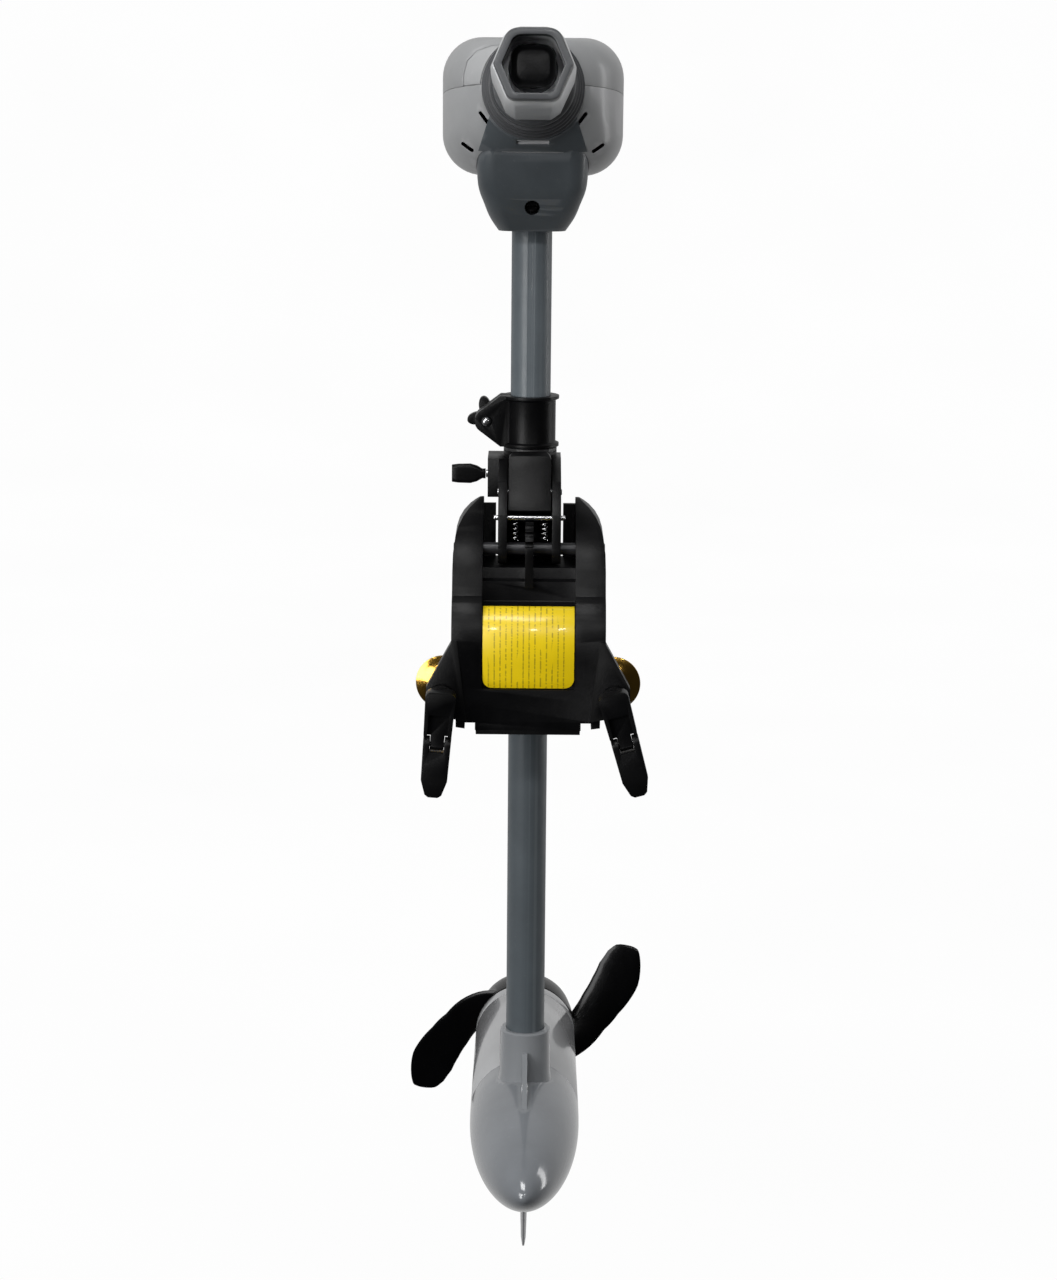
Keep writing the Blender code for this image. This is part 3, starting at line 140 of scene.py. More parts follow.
# Outline of the dark cheek over the head's lower front, below the boot: painted shade.
SHADE_CHEEK_OUTLINE = ((-0.0262, 0.04), (0.0262, 0.04), (0.0388, 0.079), (-0.0388, 0.079))
GLAND_DROP = 0.062

# Tiller
TILLER_SLOPE = 0.109
TILLER_AXIS = Vector((0, -1, TILLER_SLOPE))
TILLER_MOUTH_R = 0.0285
BOOT_START = 0.0922
TILLER_PIVOT = 0.07
GRIP_BACK = 0.128
GRIP_FRONT = 0.246
GRIP_BLEND = (
    # ahead, share of the hexagon
    (0.165, 0.0), (0.205, 0.02), (0.228, 0.12), (0.238, 0.4), (GRIP_FRONT, 0.85),
)
GRIP_HEX = (0.0262, 0.0232, 0.016)
BEZEL_HEX = (0.026, 0.023, 0.016)
MOUTH_HEX = (0.0205, 0.0185, 0.0125)
BEZEL_FRONT = 0.258
PLUG_ROWS = (
    # ahead, half width
    (0.2363, 0.014), (0.24, 0.015), (0.244, 0.014), (0.2465, 0.0105), (0.2473, 0.005),
)
ARM_R = 0.016
EXTENSION_R = 0.0125

# Depth collar
COLLAR_TOP = 0.262
COLLAR_BOTTOM = 0.3
COLLAR_R = 0.019
LIP_R = 0.0215
EAR_X = -0.033
EAR_DROP = 0.281

# Swivel
SLEEVE_TOP = 0.3035
SLEEVE_BOTTOM = 0.48
SLEEVE_R = 0.02
SLEEVE_BORE = 0.018
CHEEK_IN = 0.0165
CHEEK_OUT = 0.023
PIVOT_AHEAD = 0.072
PIVOT_DROP = 0.366
PIVOT_R = 0.0045
TENSION_DROP = 0.322
TENSION_ROWS = (
    # x, half height, half thickness
    (-0.0335, 0.0038, 0.0034), (-0.036, 0.0036, 0.0034), (-0.04, 0.006, 0.0034),
    (-0.045, 0.0074, 0.0034), (-0.054, 0.0072, 0.0032), (-0.059, 0.0066, 0.0028),
)
LEVER_AHEAD = 0.056
LEVER_DROP = 0.3265
LEVER_HALF = 0.0156
LEVER_HOLE_R = 0.0026
LOCK_AHEAD = 0.0735
LOCK_DROP = 0.343
SECTOR_R = 0.0195

# Transom bracket
RAIL_OUT = 0.056
RAIL_IN = 0.034
FLANGE_IN = 0.025
SEAT_DROP = 0.415
POCKET_AFT = 0.04
POCKET_FRONT = 0.104
LEG_AFT = 0.03
LEG_BOTTOM = 0.508
CLAMP_X = 0.063
CLAMP_DROP = 0.468
SCREW_R = 0.005
PAD_R = 0.0204
PAD_FACE = 0.068
HUB_BACK = 0.134
HUB_FRONT = 0.148
HINGE_DOWN = 0.029
HINGE_AHEAD = 0.141
HINGE_DROP = CLAMP_DROP + HINGE_DOWN
HINGE_BORE = 0.0021
HANDLE_END = 0.068
SPLAY_LEFT = 4.4
SPLAY_RIGHT = -15.5

# Motor pod
POD_DROP = 0.8455
POD_R = 0.0435
NOSE_START = -0.0117
NOSE_TIP = 0.148
NOSE_POWER = 2.16
NOSE_ROOT = 1.6
POD_SEAM = -0.025
CAN_BACK = -0.19
BELL_BACK = -0.205
REAR_R = 0.0428
SOCKET_R = 0.0195
SOCKET_TOP = 0.764
SKEG_DROP = 0.955
SKEG_ROWS = (
    # drop, front, back, half thickness
    (0.88, 0.039, -0.112, 0.003),
    (0.9, 0.027, -0.108, 0.0029),
    (0.93, 0.0095, -0.098, 0.0024),
    (0.95, -0.002, -0.09, 0.002),
    (SKEG_DROP, -0.008, -0.086, 0.0016),
)
MOTOR_SHAFT_R = 0.005
BOLT_CIRCLE_R = 0.0345

# Propeller
PROP_FRONT = -0.208
PROP_BACK = -0.256
PROP_HUB_R = 0.042
PROP_R = 0.117
PROP_PITCH = 0.105
BLADES = 2
BLADE_ROOT = 0.039
BLADE_STEP = 0.0031
BLADE_ROWS = (
    # radius, lower edge and upper edge in degrees
    (BLADE_ROOT, -58, 8), (0.046, -46, 16), (0.056, -28, 25), (0.0694, -6, 32.5),
    (0.0823, 5, 38), (0.095, 12.5, 40.5), (0.105, 18.4, 40.5), (PROP_R, 27, 38),
)
TIP_START = 0.101

# Studio
FLOOR_BELOW = 0.45
FLOOR_R = 6.0
FLOOR_BEND = 3.0
CAMERA_BACK = 2.03
CAMERA_PITCH = 12.52
CAMERA_ROLL = 0.5
CAMERA_LENS = 76.3
NOSE_SPOT = Vector((0, SHAFT_Y, -0.43))


def at(x, ahead, drop):
    """The point at x, so far ahead of the shaft axis and below the top of the head."""
    return Vector((x, SHAFT_Y - ahead, HEAD_TOP - drop))


def made(name, bm):
    """Turns a bmesh into an object in the scene."""
    bmesh.ops.remove_doubles(bm, verts=bm.verts, dist=1e-6)
    bmesh.ops.recalc_face_normals(bm, faces=bm.faces)
    mesh = bpy.data.meshes.new(name)
    bm.to_mesh(mesh)
    bm.free()
    obj = bpy.data.objects.new(name, mesh)
    bpy.context.scene.collection.objects.link(obj)
    return obj


def cap_in_strips(bm, ring):
    """Closes a flat-sided end with a row of quads, each joining the two long sides."""
    last = len(ring) - 1
    for i in range(last // 2):
        bm.faces.new((ring[i], ring[i + 1], ring[last - i - 1], ring[last - i]))


def loft(name, rings, ring_shaped=False, strips=False):
    """Skins a row of rings of equal count; ring_shaped joins the last to the first, with no caps."""
    bm = bmesh.new()
    loops = [[bm.verts.new(point) for point in ring] for ring in rings]
    pairs = list(zip(loops, loops[1:]))
    if ring_shaped:
        pairs.append((loops[-1], loops[0]))
    for low, high in pairs:
        for i in range(len(low)):
            j = (i + 1) % len(low)
            bm.faces.new((low[i], low[j], high[j], high[i]))
    if strips:
        cap_in_strips(bm, loops[0])
        cap_in_strips(bm, loops[-1])
    elif not ring_shaped:
        for loop, ring in ((loops[0], rings[0]), (loops[-1], rings[-1])):
            if (Vector(ring[0]) - Vector(ring[len(ring) // 2])).length > 1e-6:
                bm.faces.new(loop)
    return made(name, bm)


def flow(rows, steps):
    """A smooth curve through rows of numbers, with steps points for each gap."""
    made_rows = []
    last = len(rows) - 1
    for i in range(last):
        before, here, after, beyond = rows[max(i - 1, 0)], rows[i], rows[i + 1], rows[min(i + 2, last)]
        for step in range(steps):
            t = step / steps
            row = []
            for p0, p1, p2, p3 in zip(before, here, after, beyond):
                bend = (2 * p0 - 5 * p1 + 4 * p2 - p3) * t * t + (3 * p1 - p0 - 3 * p2 + p3) * t**3
                row.append(0.5 * (2 * p1 + (p2 - p0) * t + bend))
            made_rows.append(tuple(row))
    made_rows.append(tuple(rows[last]))
    return made_rows


def axes_of(axis):
    """Three directions at right angles, the first along the axis."""
    along = Vector(axis).normalized()
    side = Vector((1, 0, 0)) if abs(along.x) < 0.9 else Vector((0, 0, 1))
    side = (side - along * side.dot(along)).normalized()
    return along, side, along.cross(side)


def turned(name, profile, centre, axis, steps, ring_shaped=False):
    """A lathe body: profile holds (radius, distance along the axis from the centre).

    Round bodies get FINE times the steps. Six steps make a hexagon and stay six.
    """
    along, u, v = axes_of(axis)
    if steps != HEX_STEPS:
        steps *= FINE
    rings = []
    for radius, distance in profile:
        ring = []
        for i in range(steps):
            angle = 2 * math.pi * i / steps
            out = u * math.cos(angle) + v * math.sin(angle)
            ring.append(centre + along * distance + out * radius)
        rings.append(ring)
    return loft(name, rings, ring_shaped)


def rod(name, start, end, radius, steps, chamfer=0.0):
    """A round bar, with its end edges cut back by the chamfer."""
    length = (end - start).length
    profile = [(radius, 0.0), (radius, length)]
    if chamfer:
        profile = [(radius - chamfer, 0.0), (radius, chamfer)]
        profile += [(radius, length - chamfer), (radius - chamfer, length)]
    return turned(name, profile, start, end - start, steps)


def tube(name, start, end, outer, inner, steps):
    length = (end - start).length
    profile = [(inner, 0.0), (outer, 0.0), (outer, length), (inner, length)]
    return turned(name, profile, start, end - start, steps, ring_shaped=True)


def side_prism(name, outline, x0, x1):
    """Extrudes a side view outline of (ahead, drop) points from x0 to x1."""
    return loft(name, [[at(x, a, d) for a, d in outline] for x in (x0, x1)])


def front_prism(name, outline, ahead0, ahead1):
    """Extrudes a front view outline of (x, drop) points."""
    return loft(name, [[at(x, a, d) for x, d in outline] for a in (ahead0, ahead1)])


def block(name, x0, x1, ahead0, ahead1, drop0, drop1):
    """A box between two values of x, ahead and drop."""
    outline = [(ahead0, drop0), (ahead1, drop0), (ahead1, drop1), (ahead0, drop1)]
    return side_prism(name, outline, x0, x1)


def cross_rod(name, x0, x1, ahead, drop, radius, steps, chamfer=0.0):
    """A rod lying across the object, from x0 to x1."""
    return rod(name, at(x0, ahead, drop), at(x1, ahead, drop), radius, steps, chamfer)


def deep_rod(name, x, drop, ahead0, ahead1, radius, steps, chamfer=0.0):
    """A rod that points ahead, from ahead0 to ahead1."""
    return rod(name, at(x, ahead0, drop), at(x, ahead1, drop), radius, steps, chamfer)


def upright_rod(name, drop0, drop1, radius, steps):
    """A rod on the axis of the shaft tube."""
    return rod(name, at(0, 0, drop0), at(0, 0, drop1), radius, steps)


def arc(cx, cy, radius, start, end, steps):
    """Points round a circle, from the start to the end angle in degrees."""
    points = []
    steps *= FINE
    for i in range(steps + 1):
        angle = math.radians(start + (end - start) * i / steps)
        points.append((cx + radius * math.cos(angle), cy + radius * math.sin(angle)))
    return points


def rounded(x0, x1, y0, y1, radius, steps=4):
    """A rounded rectangle as (x, y) points."""
    radius = min(radius, (x1 - x0) / 2 - 1e-5, (y1 - y0) / 2 - 1e-5)
    points = arc(x1 - radius, y1 - radius, radius, 0, 90, steps)
    points += arc(x0 + radius, y1 - radius, radius, 90, 180, steps)
    points += arc(x0 + radius, y0 + radius, radius, 180, 270, steps)
    points += arc(x1 - radius, y0 + radius, radius, 270, 360, steps)
    return points


def combine(body, tool, how):
    """Applies a Boolean to the body and removes the tool."""
    modifier = body.modifiers.new(how.title(), "BOOLEAN")
    modifier.operation = how
    modifier.solver = "EXACT"
    modifier.object = tool
    bpy.context.view_layer.update()
    graph = bpy.context.evaluated_depsgraph_get()
    result = bpy.data.meshes.new_from_object(body.evaluated_get(graph))
    body.modifiers.clear()
    body.data = result
    bpy.data.objects.remove(tool, do_unlink=True)
    return body


def cut(body, tool):
    return combine(body, tool, "DIFFERENCE")


def add(body, tool):
    return combine(body, tool, "UNION")


def keep(body, tool):
    return combine(body, tool, "INTERSECT")


# ---- materials

# slot: colour, worn colour, roughness, metallic, coat, grain size, grain depth, mottle
FINISHES = {
    "head_plastic": ((0.3, 0.305, 0.31), (0.4, 0.4, 0.41), 0.34, 0.0, 0.1, 900, 0.05, 0.05),
    "panel_plastic": ((0.36, 0.365, 0.37), (0.46, 0.46, 0.47), 0.3, 0.0, 0.15, 900, 0.04, 0.03),
    # neck_plastic: partly a slate tint like the shaft's, partly painted shade, darker than the head
    # plastic to stand for the shade on the neck's front face.
    "neck_plastic": ((0.062, 0.072, 0.08), (0.12, 0.13, 0.14), 0.42, 0.0, 0.1, 1100, 0.05, 0.1),
    "shaft_composite": ((0.085, 0.102, 0.115), (0.17, 0.19, 0.2), 0.46, 0.0, 0.1, 1400, 0.06, 0.1),
    "black_plastic": ((0.002, 0.002, 0.0023), (0.014, 0.014, 0.014), 0.36, 0.0, 0.0, 700, 0.12, 0.4),
    "grip_silver": ((0.52, 0.53, 0.54), (0.62, 0.62, 0.63), 0.34, 0.25, 0.1, 1200, 0.05, 0.05),
    "dark_grey_plastic": ((0.055, 0.058, 0.062), (0.13, 0.13, 0.14), 0.38, 0.0, 0.05, 900, 0.08, 0.12),
    "boot_rubber": ((0.05, 0.052, 0.056), (0.1, 0.1, 0.11), 0.5, 0.0, 0.0, 800, 0.12, 0.12),
    "bush_plastic": ((0.012, 0.012, 0.013), (0.04, 0.04, 0.04), 0.45, 0.0, 0.0, 700, 0.05, 0.06),
    "steel": ((0.56, 0.56, 0.57), (0.72, 0.72, 0.73), 0.24, 1.0, 0.0, 1500, 0.06, 0.1),
    "rod_steel": ((0.022, 0.022, 0.024), (0.16, 0.16, 0.17), 0.36, 0.4, 0.0, 900, 0.08, 0.2),
    "zinc_yellow": ((0.66, 0.38, 0.07), (0.8, 0.55, 0.18), 0.13, 1.0, 0.0, 1300, 0.02, 0.3),
    "label_yellow": ((0.84, 0.6, 0.0), (0.86, 0.68, 0.05), 0.34, 0.0, 0.25, 500, 0.015, 0.03),
    "pod_paint": ((0.44, 0.445, 0.455), (0.52, 0.52, 0.53), 0.18, 0.0, 0.6, 900, 0.025, 0.04),
    "nose_paint": ((0.185, 0.197, 0.212), (0.28, 0.29, 0.3), 0.16, 0.0, 0.65, 900, 0.025, 0.06),
    "skeg_plastic": ((0.36, 0.365, 0.375), (0.4, 0.4, 0.41), 0.3, 0.0, 0.25, 900, 0.04, 0.05),
    "prop_plastic": ((0.0015, 0.0015, 0.0018), (0.01, 0.01, 0.01), 0.24, 0.0, 0.12, 700, 0.05, 0.25),
    "ferrite": ((0.045, 0.045, 0.05), (0.1, 0.1, 0.1), 0.6, 0.0, 0.0, 900, 0.15, 0.2),
    "copper": ((0.6, 0.27, 0.13), (0.8, 0.45, 0.28), 0.35, 0.9, 0.0, 1500, 0.15, 0.2),
    "carbon": ((0.035, 0.035, 0.036), (0.08, 0.08, 0.08), 0.6, 0.0, 0.0, 900, 0.15, 0.15),
    "cable_pvc": ((0.03, 0.03, 0.033), (0.06, 0.06, 0.06), 0.45, 0.0, 0.0, 700, 0.06, 0.1),
}

# The black finishes shine less and are finely pebbled. The paints have a soft orange peel.
BLACK_SLOTS = ("black_plastic", "prop_plastic")
PAINT_SLOTS = ("pod_paint", "nose_paint")
BLACK_SPECULAR = 0.16
RULE_PITCH = 0.0042


class Sheet:
    """A material's nodes, made and wired in short calls."""

    def __init__(self, name):
        self.material = bpy.data.materials.new(name)
        self.material.use_nodes = True
        self.tree = self.material.node_tree
        self.shader = self.tree.nodes["Principled BSDF"]
        self.where = self.tree.nodes.new("ShaderNodeTexCoord").outputs["Object"]

    def node(self, kind, **settings):
        made_node = self.tree.nodes.new(kind)
        for key, value in settings.items():
            setattr(made_node, key, value)
        return made_node

    def wire(self, start, end):
        self.tree.links.new(start, end)

    def noise(self, scale, detail, rough=0.5, stretch=None):
        made_node = self.node("ShaderNodeTexNoise")
        made_node.inputs["Scale"].default_value = scale
        made_node.inputs["Detail"].default_value = detail
        made_node.inputs["Roughness"].default_value = rough
        where = self.where
        if stretch:
            mapping = self.node("ShaderNodeMapping")
            mapping.inputs["Scale"].default_value = stretch
            self.wire(where, mapping.inputs["Vector"])
            where = mapping.outputs["Vector"]
        self.wire(where, made_node.inputs["Vector"])
        return made_node.outputs["Fac"]

    def spread(self, value, low_in, high_in, low, high):
        """Maps a value from one range to another."""
        made_node = self.node("ShaderNodeMapRange")
        for key, number in zip(("From Min", "From Max", "To Min", "To Max"), (low_in, high_in, low, high)):
            made_node.inputs[key].default_value = number
        self.wire(value, made_node.inputs["Value"])
        return made_node.outputs["Result"]

    def mix(self, share, first, second):
        made_node = self.node("ShaderNodeMix", data_type="RGBA")
        self.wire(share, made_node.inputs["Factor"])
        for socket, colour in ((made_node.inputs[6], first), (made_node.inputs[7], second)):
            if isinstance(colour, tuple):
                socket.default_value = (*colour, 1.0)
            else:
                self.wire(colour, socket)
        return made_node.outputs[2]

    def maths(self, how, first, second):
        made_node = self.node("ShaderNodeMath", operation=how)
        for socket, value in zip(made_node.inputs, (first, second)):
            if isinstance(value, (int, float)):
                socket.default_value = value
            else:
                self.wire(value, socket)
        return made_node.outputs[0]

    def printed_rows(self):
        """Faint broken upright rules, as small print looks from afar, with no letters."""
        split = self.node("ShaderNodeSeparateXYZ")
        self.wire(self.where, split.inputs[0])
        across = split.outputs["X"]
        row = self.maths("FRACT", self.maths("MULTIPLY", across, 1 / RULE_PITCH), 0.0)
        rule = self.maths("LESS_THAN", row, 0.24)
        past_left = self.maths("GREATER_THAN", across, -0.03)
        before_right = self.maths("LESS_THAN", across, 0.029)
        inside = self.maths("MULTIPLY", past_left, before_right)
        ragged = self.maths("GREATER_THAN", self.noise(60, 1, 0.5, (4.0, 0.0, 0.35)), 0.42)
        gaps = self.maths("GREATER_THAN", self.noise(900, 1, 0.5, (0.3, 0.0, 1.0)), 0.45)
        ruled = self.maths("MULTIPLY", rule, inside)
        broken = self.maths("MULTIPLY", gaps, ragged)
        return self.maths("MULTIPLY", self.maths("MULTIPLY", ruled, broken), 0.62)

    def bump(self, height, strength, distance, under=None):
        made_node = self.node("ShaderNodeBump")
        made_node.inputs["Strength"].default_value = strength
        made_node.inputs["Distance"].default_value = distance
        self.wire(height, made_node.inputs["Height"])
        if under is not None:
            self.wire(under, made_node.inputs["Normal"])
        return made_node.outputs["Normal"]


def scaled(colour, factor):
    return tuple(min(channel * factor, 1.0) for channel in colour)


def finish_of(slot):
    """A slot's material: mottled colour, paler specks and edges, uneven gloss and a fine grain."""
    colour, worn, rough, metallic, coat, grain, depth, mottle = FINISHES[slot]
    sheet = Sheet(slot)
    shader = sheet.shader
    shader.inputs["Metallic"].default_value = metallic
    shader.inputs["Coat Weight"].default_value = coat
    shader.inputs["Coat Roughness"].default_value = 0.08
    if slot in BLACK_SLOTS:
        shader.inputs["Specular IOR Level"].default_value = BLACK_SPECULAR
    cloud = sheet.spread(sheet.noise(22, 5, 0.6), 0.35, 0.65, 0, 1)
    tone = sheet.mix(cloud, scaled(colour, 1 - mottle), scaled(colour, 1 + mottle))
    speck = sheet.noise(260, 3, 0.7)
    tone = sheet.mix(sheet.spread(speck, 0.62, 0.8, 0, 0.35), tone, worn)
    edge = sheet.node("ShaderNodeNewGeometry").outputs["Pointiness"]
    tone = sheet.mix(sheet.spread(edge, 0.525, 0.6, 0, 0.55), tone, worn)
    sheet.wire(tone, shader.inputs["Base Color"])
    patch = sheet.noise(45, 6, 0.65)
    gloss = sheet.spread(patch, 0.3, 0.7, rough * 0.86, min(rough * 1.18, 1.0))
    sheet.wire(gloss, shader.inputs["Roughness"])
    fine = sheet.bump(sheet.noise(grain, 3, 0.6), depth, 0.001)
    if slot == "zinc_yellow":
        fine = sheet.bump(sheet.noise(60, 2, 0.4), 0.05, 0.001, fine)
    if slot == "label_yellow":
        rows = sheet.printed_rows()
        tone = sheet.mix(rows, tone, (0.2, 0.14, 0.01))
        sheet.wire(tone, shader.inputs["Base Color"])
    if slot == "steel":
        fine = sheet.bump(sheet.noise(300, 3, 0.6, (1, 1, 14)), 0.1, 0.0006, fine)
    if slot in BLACK_SLOTS:
        fine = sheet.bump(sheet.noise(120, 3, 0.5), 0.06, 0.001, fine)
    if slot in PAINT_SLOTS:
        fine = sheet.bump(sheet.noise(14, 2, 0.4), 0.1, 0.002, fine)
    sheet.wire(fine, shader.inputs["Normal"])
    return sheet.material


MATERIALS = {slot: finish_of(slot) for slot in FINISHES}


def dress(obj):
    """Rounds a piece's edges, gives it its slot's finish, and puts it in place of its CAD node."""
    node = obj.name.split(".")[0]
    obj.name = node + "_skin"
    slot = SLOT_OF[node]
    obj.data.materials.clear()
    obj.data.materials.append(MATERIALS[slot])
    for face in obj.data.polygons:
        face.material_index = 0
        face.use_smooth = True
    modifier = obj.modifiers.new("Edges", "BEVEL")
    modifier.width = EDGE_BEVEL
    modifier.segments = 2
    modifier.limit_method = "ANGLE"
    modifier.angle_limit = math.radians(SHARP_ANGLE)
    modifier.miter_outer = "MITER_ARC"
    bpy.context.view_layer.update()
    graph = bpy.context.evaluated_depsgraph_get()
    result = bpy.data.meshes.new_from_object(obj.evaluated_get(graph))
    obj.modifiers.clear()
    obj.data = result
    obj.data.set_sharp_from_angle(angle=math.radians(SHARP_ANGLE))
    if node == "tiller_boot":
        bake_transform(obj)
    else:
        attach(obj, BODY_OF[node])
    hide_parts(node)


# ---- control head


def head_body(name, inset):
    """The rounded body of the head, smaller all round by the inset."""
    rings = []
    stations = flow(HEAD_STATIONS, 5)
    last = len(stations) - 1
    for i, (ahead, half, top, bottom, radius) in enumerate(stations):
        if i == 0:
            ahead += inset
        if i == last:
            ahead -= inset
        outline = rounded(-half + inset, half - inset, top + inset, bottom - inset, radius - inset)
        rings.append([at(x, ahead, drop) for x, drop in outline])
    return loft(name, rings)


def neck_body(name, grow):
    """The tapered neck, larger all round by grow."""
    rings = []
    for drop, half, front, back, radius in flow(NECK_STATIONS, 5):
        outline = rounded(-half - grow, half + grow, back - grow, front + grow, radius + grow, 3)
        rings.append([at(x, ahead, drop) for x, ahead in outline])
    rings[0] = [point + UP * grow for point in rings[0]]
    return loft(name, rings)


def seam_side(name, above, gap):
    """A block on one side of the sloping seam between the two halves of the head."""
    far = -0.1 if above else 0.2
    step = -gap if above else gap
    back, front = -0.2, 0.2
    outline = [(back, SEAM_DROP - back * SEAM_RISE + step)]
    outline += [(front, SEAM_DROP - front * SEAM_RISE + step), (front, far), (back, far)]
    return side_prism(name, outline, -0.1, 0.1)


def tiller_axis(ahead):
    """How far the tiller's sloping axis is below the top of the head."""
    return SEAM_DROP - TILLER_SLOPE * ahead


def along_tiller(ahead):
    return at(0, ahead, tiller_axis(ahead))


def head_shell(name):
    """The whole hollow head, with the opening for the tiller."""
    shell = head_body(name, 0.0)
    cut(shell, head_body("hollow", HEAD_WALL))
    return cut(shell, rod("mouth", along_tiller(0.06), along_tiller(0.12), TILLER_MOUTH_R, 24))


def panel_prism(name, grow):
    """The outline of the inset panel, larger all round by grow."""
    outline = [(-0.024 + grow, 0.09), (-0.049 - grow, 0.09), (-0.049 - grow, 0.026)]
    outline += [(-0.0465 - grow, 0.0165 - grow), (-0.04, 0.0095 - grow), (-0.03, 0.0062 - grow)]
    outline += [(-0.024 + grow, 0.0055 - grow)]
    return front_prism(name, outline, 0.006 - grow, 0.12)


def head_cover():
    cover = keep(head_shell("head_cover"), seam_side("half", True, GAP / 2))
    pocket = cut(panel_prism("pocket", GAP), head_body("floor", 0.0016))
    cut(cover, pocket)
    return cover


def cover_panel():
    panel = keep(panel_prism("cover_panel", 0.0), head_body("skin", 0.0001))
    cut(panel, head_body("floor", 0.0013))
    keep(panel, seam_side("half", True, 0.0006))
    cut(panel, rod("mouth", along_tiller(0.05), along_tiller(0.12), 0.0375, 24))
    return panel


def head_slot(x, drop, length, lean):
    """A slanting vent slot cut through the front wall."""
    points = []
    c, s = math.cos(math.radians(lean)), math.sin(math.radians(lean))
    for u, v in rounded(-length / 2, length / 2, -0.0013, 0.0013, 0.0012, 2):
        points.append((x + u * c - v * s, drop + u * s + v * c))
    return front_prism("slot", points, 0.03, 0.11)


def chin_notch(top, back):
    """The thin slot across the front of the chin."""
    return front_prism("notch", rounded(-0.0115, 0.0115, top, top + 0.003, 0.0005, 1), back, 0.1)


def head_lower():
    lower = keep(head_shell("head_lower"), seam_side("half", False, GAP / 2))
    cut(lower, neck_body("socket", GAP))
    cut(lower, chin_notch(0.0712, 0.083))
    for side in (-1, 1):
        cut(lower, head_slot(side * 0.0345, 0.0555, 0.011, side * -52))
        cut(lower, head_slot(side * 0.0465, 0.0765, 0.0105, side * -34))
    cut(lower, deep_rod("hole", 0, GLAND_DROP, -0.09, -0.06, 0.0063, 20))
    return lower


def painted_shade_cheek():
    """The dark cheek of the neck that rises over the front of the head, below the boot: painted shade, a
    dark sheet where the head's lower front is only shaded.
    """
    chin = front_prism("chin", SHADE_CHEEK_OUTLINE, 0.03, 0.12)
    keep(chin, head_body("skin", -0.0006))
    cut(chin, chin_notch(0.0705, 0.08))
    return cut(chin, upright_rod("inside", 0.03, 0.15, 0.03, 24))


def neck():
    body = neck_body("neck", 0.0)
    cut(body, upright_rod("bore", 0.055, 0.145, TUBE_R + GAP, 28))
    cut(body, deep_rod("recess", 0, NECK_SCREW_DROP, 0.036, 0.09, NECK_HOLE_R, 24))
    cut(body, deep_rod("hole", 0, NECK_SCREW_DROP, -0.06, 0.04, PILOT_R, 16))
    # The dark cheek over the head's front is painted shade.
    add(body, painted_shade_cheek())
    return body


def neck_screw():
    screw = deep_rod("neck_screw", 0, NECK_SCREW_DROP, 0.0363, 0.0403, 0.0045, 20, 0.0006)
    add(screw, deep_rod("thread", 0, NECK_SCREW_DROP, 0.016, 0.038, 0.0025, 14))
    top, bottom = NECK_SCREW_DROP - 0.0006, NECK_SCREW_DROP + 0.0006
    cut(screw, block("drive", -0.0035, 0.0035, 0.039, 0.045, top, bottom))
    return screw


def cord_gland():
    centre = at(0, -0.0803, GLAND_DROP)
    profile = [(0.0035, 0.0), (0.0095, 0.0), (0.0095, 0.004), (0.0075, 0.01), (0.0035, 0.01)]
    gland = turned("cord_gland", profile, centre, -FORWARD, 14, ring_shaped=True)
    back, front = at(0, -0.081, GLAND_DROP), at(0, -0.07, GLAND_DROP)
    spigot = tube("spigot", back, front, 0.006, 0.0035, 14)
    return add(gland, spigot)


def tiller_boot():
    """A stepped rubber boot round the root of the tiller."""
    outer = [(0.0362, 0.0), (0.0362, 0.0035), (0.0345, 0.0042), (0.0345, 0.0085)]
    outer += [(0.0328, 0.0092), (0.0328, 0.0135), (0.0312, 0.0142), (0.0312, 0.018)]
    inner = [(0.0285, 0.018), (0.0285, 0.013), (0.03, 0.011), (0.03, 0.0)]
    start = along_tiller(BOOT_START)
    return turned("tiller_boot", outer + inner, start, TILLER_AXIS, 24, True)


# ---- tiller


def tiller_arm():
    """The inner tube that the grip turns on, with its stop collar and its cross barrel in the head."""
    base, collar, mouth, blind = 0.078, 0.116, 0.222, 0.095
    stretch = TILLER_AXIS.length
    c, end, floor = ((ahead - base) * stretch for ahead in (collar, mouth, blind))
    bore = EXTENSION_R + GAP
    profile = [(0.0, 0.0), (ARM_R, 0.0), (ARM_R, c), (0.0265, c), (0.0295, c + 0.002)]
    profile += [(0.0295, c + 0.0075), (0.028, c + 0.009), (ARM_R, c + 0.009), (ARM_R, end)]
    profile += [(bore, end), (bore, floor), (0.0, floor)]
    arm = turned("tiller_arm", profile, along_tiller(base), TILLER_AXIS, 22)
    pivot = at(0, TILLER_PIVOT, tiller_axis(TILLER_PIVOT))
    add(arm, rod("barrel", pivot - RIGHT * 0.02, pivot + RIGHT * 0.02, 0.011, 16))
    return arm


def hexagon(half_width, half_height, flat):
    """The six-sided outline of the grip end, its corners blunted by a curve through 9 points."""
    corners = [(half_width, 0.0), (flat, half_height), (-flat, half_height)]
    corners += [(-half_width, 0.0), (-flat, -half_height), (flat, -half_height)]
    blunt = (0.03, 0.26, 0.26, 0.03, 0.16, 0.16)
    points = []
    count = len(corners)
    for i in range(count):
        here = Vector(corners[i])
        before = Vector(corners[i - 1])
        after = Vector(corners[(i + 1) % count])
        first = here.lerp(before, blunt[i])
        last = here.lerp(after, blunt[i])
        for step in range(9):
            t = step / 8
            points.append(first * (1 - t) ** 2 + here * 2 * t * (1 - t) + last * t * t)
    return [(point.x, point.y) for point in points]


